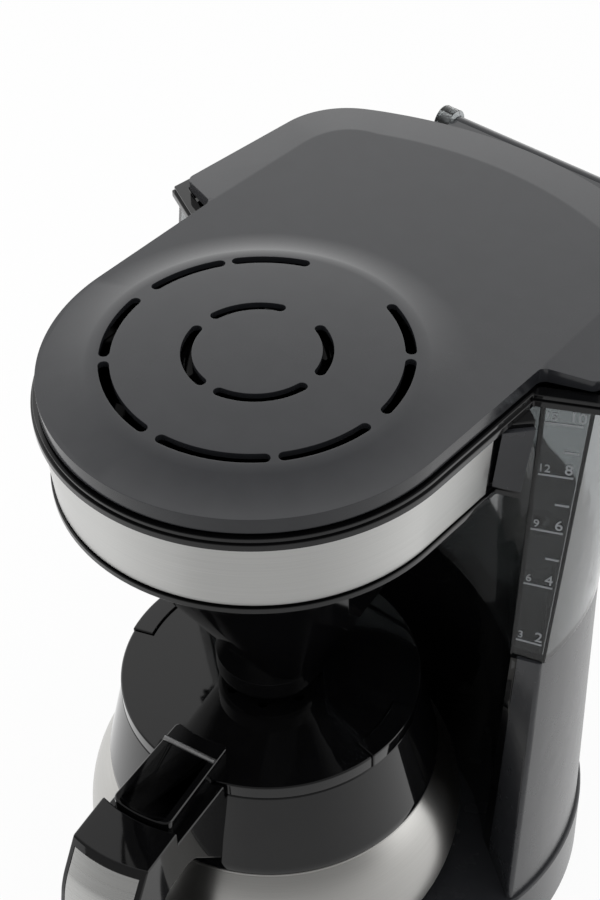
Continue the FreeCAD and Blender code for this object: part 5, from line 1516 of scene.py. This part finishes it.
@dataclass
class Tower:
    """Clear tank with its raised level figures, grey column, black recess and base."""

    low_z: float = 192.0
    high_z: float = 316.5
    low_in: Point = (90.0, 46.4)
    low_out: Point = (103.8, 51.0)
    high_in: Point = (87.2, 58.6)
    high_out: Point = (104.7, 68.4)
    relief: float = 0.35
    marks: tuple[tuple[str, str, float], ...] = (
        ("15", "10", 309.9), ("12", "8", 285.7), ("9", "6", 258.9), ("6", "4", 231.2), ("3", "2", 201.2))
    ticks: tuple[float, ...] = (297.3, 272.3, 245.5)
    columns: tuple[Point, Point] = ((0.22, 5.0), (0.72, 6.8))   # place across the face, and size
    figure_up: float = 1.4
    line_at: float = 0.47
    line_share: float = 0.72
    line_w: float = 0.7
    tick_at: float = 0.7
    tick_l: float = 5.5
    fine: float = 0.5
    soft: float = 0.8

    def at(self, share: float, z: float) -> Matrix:
        """Place on the tank's shoulder face.

        Args:
            share: How far it is from the inner to the outer edge, from 0 to 1.
            z: Level.

        Returns:
            The matrix from a flat figure to the face, with its x along the face and its y up it.
        """
        rise = (z - self.low_z) / (self.high_z - self.low_z)
        inner = Vector((*Vector(self.low_in).lerp(Vector(self.high_in), rise), z))
        outer = Vector((*Vector(self.low_out).lerp(Vector(self.high_out), rise), z))
        low = Vector((*Vector(self.low_in).lerp(Vector(self.low_out), share), self.low_z))
        high = Vector((*Vector(self.high_in).lerp(Vector(self.high_out), share), self.high_z))
        along = (outer - inner).normalized()
        away = along.cross(high - low).normalized()
        turn = Matrix((along, away.cross(along), away)).transposed().to_4x4()
        return Matrix.Translation(inner.lerp(outer, share)) @ turn

    def figure(self, text: str, size: float) -> BMesh:
        """A number as a raised flat mesh.

        Args:
            text: The number.
            size: Its height.

        Returns:
            The mesh, lying flat about its foot.
        """
        data = bpy.data.curves.new("figure", "FONT")
        data.body = text
        data.size = size
        data.align_x = "CENTER"
        data.extrude = self.relief
        data.resolution_u = 4
        made = in_scene("figure", data)
        mesh = bpy.data.meshes.new_from_object(made.evaluated_get(bpy.context.evaluated_depsgraph_get()))
        bm = bmesh.new()
        bm.from_mesh(mesh)
        bpy.data.objects.remove(made)
        bpy.data.curves.remove(data)
        bpy.data.meshes.remove(mesh)
        return bm

    def dash(self, length: float) -> BMesh:
        """A short raised line."""
        return box((length, self.line_w, 2 * self.relief))

    def scale_marks(self) -> BMesh:
        """Level figures in two columns, underlined, with ticks between them.

        Returns:
            All of them in one mesh.
        """
        bm = bmesh.new()

        def put(mark: BMesh, share: float, z: float) -> None:
            """Lays a mark on the face."""
            bmesh.ops.transform(mark, matrix=self.at(share, z), verts=mark.verts[:])
            take_in(bm, mark)

        for *figures, z in self.marks:
            for figure, (share, size) in zip(figures, self.columns):
                put(self.figure(figure, size), share, z + self.figure_up)
            width = (self.at(1.0, z).translation - self.at(0.0, z).translation).length
            put(self.dash(self.line_share * width), self.line_at, z)
        for z in self.ticks:
            put(self.dash(self.tick_l), self.tick_at, z)
        outwards(bm)
        return bm

    def build(self) -> None:
        """Builds tank, column and base and dresses them."""
        eased_copy("water_tank", "tank_wall", CLEAR_SAN, Body.MACHINE, self.fine)
        publish(self.scale_marks(), "tank_figures", FROSTED_SAN, Body.MACHINE)
        eased_copy("column_shell", "column_moulding", DARK_GREY, Body.MACHINE, self.soft)
        eased_copy("recess_wall", "recess_moulding", GLOSS_BLACK, Body.MACHINE, self.fine)
        eased_copy("base_shell", "base_moulding", DARK_GREY, Body.MACHINE, self.soft)
        eased_copy("rubber_feet", "feet_pads", RUBBER, Body.MACHINE, self.soft)


@dataclass
class Studio:
    """Camera, light and floor."""

    eye: Place = (385.99, -413.45, 807.51)
    azimuth: float = 41.532
    elevation: float = 42.736
    roll: float = -1.484
    lens: float = 80.0
    sensor: float = 36.0
    floor_r: float = 6.0
    bright_way: Place = (-0.35, 0.94, 0.0)
    bright_span: Point = (-0.35, 0.25)
    wall_span: Point = (0.2, 0.72)
    wall_level: float = 1.9
    high_level: float = 0.95
    roof_span: Point = (0.72, 0.92)
    roof_dim: float = 0.4
    front_level: float = 0.25
    fill_level: float = 0.6
    floor_glow: float = 0.94
    floor_side: float = 1.0
    floor_front: float = 0.56
    floor_span: Point = (0.1, 0.95)
    floor_tone: tuple[float, ...] = (0.9, 0.9, 0.9, 1.0)
    aim: Place = (0.0, 0.0, 0.2)

    def camera(self) -> None:
        """Camera at the photograph's place."""
        data = bpy.data.cameras.new("camera")
        data.lens = self.lens
        data.sensor_width = self.sensor
        made = in_scene("camera", data)
        look = (Matrix.Rotation(math.radians(self.azimuth), 4, "Z")
                @ Matrix.Rotation(math.radians(90.0 - self.elevation), 4, "X")
                @ Matrix.Rotation(math.radians(self.roll), 4, "Z"))
        made.matrix_world = Matrix.Translation(TO_FRAME @ Vector(self.eye)) @ look
        bpy.context.scene.camera = made

    def seen(self, tree: NodeTree) -> tuple[NodeSocket, NodeSocket]:
        """Tells sight from light.

        Args:
            tree: Node tree of the world or the floor.

        Returns:
            Sockets that are 1 where the eye looks straight or through clear plastic, and where a gloss
            mirrors.
        """
        path = add(tree, "ShaderNodeLightPath")
        rays = {0: path.outputs["Is Camera Ray"], 1: path.outputs["Is Transmission Ray"]}
        straight = add(tree, "ShaderNodeMath", None, rays, operation="MAXIMUM")
        return straight.outputs[0], path.outputs["Is Glossy Ray"]

    def world(self) -> None:
        """White room, brightest low behind the object and dim before it, as a gloss mirrors it."""
        made = bpy.data.worlds.new("white_studio")
        made.use_nodes = True
        tree = made.node_tree
        tree.nodes.clear()
        straight, mirrored = self.seen(tree)
        way = add(tree, "ShaderNodeTexCoord").outputs["Generated"]
        height = add(tree, "ShaderNodeSeparateXYZ", None, {"Vector": way}).outputs["Z"]
        rear = add(tree, "ShaderNodeVectorMath", {1: self.bright_way}, {0: way}, operation="DOT_PRODUCT")
        wall = add(tree, "ShaderNodeMapRange",
                   {"From Min": self.wall_span[0], "From Max": self.wall_span[1], "To Min": self.wall_level,
                    "To Max": self.high_level}, {"Value": height})
        roof = add(tree, "ShaderNodeMapRange",
                   {"From Min": self.roof_span[0], "From Max": self.roof_span[1], "To Min": 0.0,
                    "To Max": self.roof_dim}, {"Value": height})
        behind = add(tree, "ShaderNodeMath", None, {0: wall.outputs["Result"], 1: roof.outputs["Result"]},
                     operation="SUBTRACT")
        share = add(tree, "ShaderNodeMapRange",
                    {"From Min": self.bright_span[0], "From Max": self.bright_span[1]},
                    {"Value": rear.outputs["Value"]}, interpolation_type="SMOOTHSTEP")
        room = add(tree, "ShaderNodeMix", {"A": self.front_level},
                   {"Factor": share.outputs["Result"], "B": behind.outputs[0]})
        plain = add(tree, "ShaderNodeMapRange", {"To Min": self.fill_level, "To Max": 1.0},
                    {"Value": straight})
        level = add(tree, "ShaderNodeMix", None,
                    {"Factor": mirrored, "A": plain.outputs["Result"], "B": room.outputs["Result"]})
        light = add(tree, "ShaderNodeBackground", {"Color": WHITE}, {"Strength": level.outputs["Result"]})
        add(tree, "ShaderNodeOutputWorld", None, {"Surface": light.outputs["Background"]})
        bpy.context.scene.world = made

    def floor(self) -> None:
        """Pale round floor that keeps a soft shadow; a gloss mirrors it dimmer before the object."""
        bm = bmesh.new()
        bmesh.ops.create_circle(bm, cap_ends=True, segments=64, radius=self.floor_r)
        mesh = bpy.data.meshes.new("floor")
        bm.to_mesh(mesh)
        bm.free()
        made = in_scene("floor", mesh)
        paint, tree = fresh_tree("white_paper")
        straight, mirrored = self.seen(tree)
        glow = add(tree, "ShaderNodeMath", {1: self.floor_glow}, {0: straight}, operation="MULTIPLY")
        share = add(tree, "ShaderNodeMath", None, {0: glow.outputs[0], 1: mirrored}, operation="MAXIMUM")
        matt = add(tree, "ShaderNodeBsdfDiffuse", {"Color": self.floor_tone})
        place = add(tree, "ShaderNodeTexCoord").outputs["Object"]
        bearing = add(tree, "ShaderNodeVectorMath", None, {0: place}, operation="NORMALIZE")
        ahead = add(tree, "ShaderNodeVectorMath", {1: Vector((*self.eye[:2], 0.0)).normalized()},
                    {0: bearing.outputs["Vector"]}, operation="DOT_PRODUCT")
        dim = add(tree, "ShaderNodeMapRange",
                  {"From Min": self.floor_span[0], "From Max": self.floor_span[1], "To Min": self.floor_side,
                   "To Max": self.floor_front}, {"Value": ahead.outputs["Value"]})
        level = add(tree, "ShaderNodeMix", {"A": 1.0}, {"Factor": mirrored, "B": dim.outputs["Result"]})
        white = add(tree, "ShaderNodeEmission", {"Color": WHITE}, {"Strength": level.outputs["Result"]})
        mixed = add(tree, "ShaderNodeMixShader", None, {"Fac": share.outputs[0], 1: matt.outputs["BSDF"],
                                                        2: white.outputs["Emission"]})
        add(tree, "ShaderNodeOutputMaterial", None, {"Surface": mixed.outputs["Shader"]})
        mesh.materials.append(paint)

    def lamp(self, name: str, place: Place, size: Point, power: float) -> None:
        """Adds a soft box that faces the object.

        Args:
            name: Name of the lamp.
            place: Where it hangs, in metres.
            size: Width and height in metres.
            power: Power in watts.
        """
        data = bpy.data.lights.new(name, "AREA")
        data.shape = "RECTANGLE"
        data.size, data.size_y = size
        data.energy = power
        made = in_scene(name, data)
        made.visible_glossy = False
        way = Vector(self.aim) - Vector(place)
        made.matrix_world = Matrix.Translation(place) @ way.to_track_quat("-Z", "Y").to_matrix().to_4x4()

    def build(self) -> None:
        """Sets up camera, light and floor."""
        bpy.context.scene.view_settings.view_transform = "Standard"
        self.camera()
        self.world()
        self.floor()
        self.lamp("overhead_box", (0.1, 0.2, 1.6), (1.6, 1.2), 9.0)
        self.lamp("left_box", (-1.4, -0.7, 0.9), (0.9, 1.2), 7.0)


def dress_nodes() -> None:
    """Gives every node that still shows its finish."""
    finishes = (AMBER, SILICONE, RUBBER, ALUMINIUM, PLATED, SATIN_SHELL, CLEAR_SAN, DARK_GREY, CHARCOAL,
                GLOSS_BLACK)
    by_slot = {finish.slot: finish for finish in finishes}
    slots = {row["node"]: row["material_slot"] for row in frame["record"]["subparts"]}
    for name, node in frame["nodes"].items():
        node.data.materials.clear()
        node.data.materials.append(by_slot[slots[name]].material())


def main() -> None:
    """Builds the pieces in order."""
    logging.basicConfig(level=logging.INFO, format="%(message)s")
    Studio().build()
    dress_nodes()
    Lid().build()
    TopFrame().build()
    FilterHead().build()
    Basket().build()
    Jug().build()
    JugLid().build()
    Tower().build()


if __name__ == "__main__":
    main()
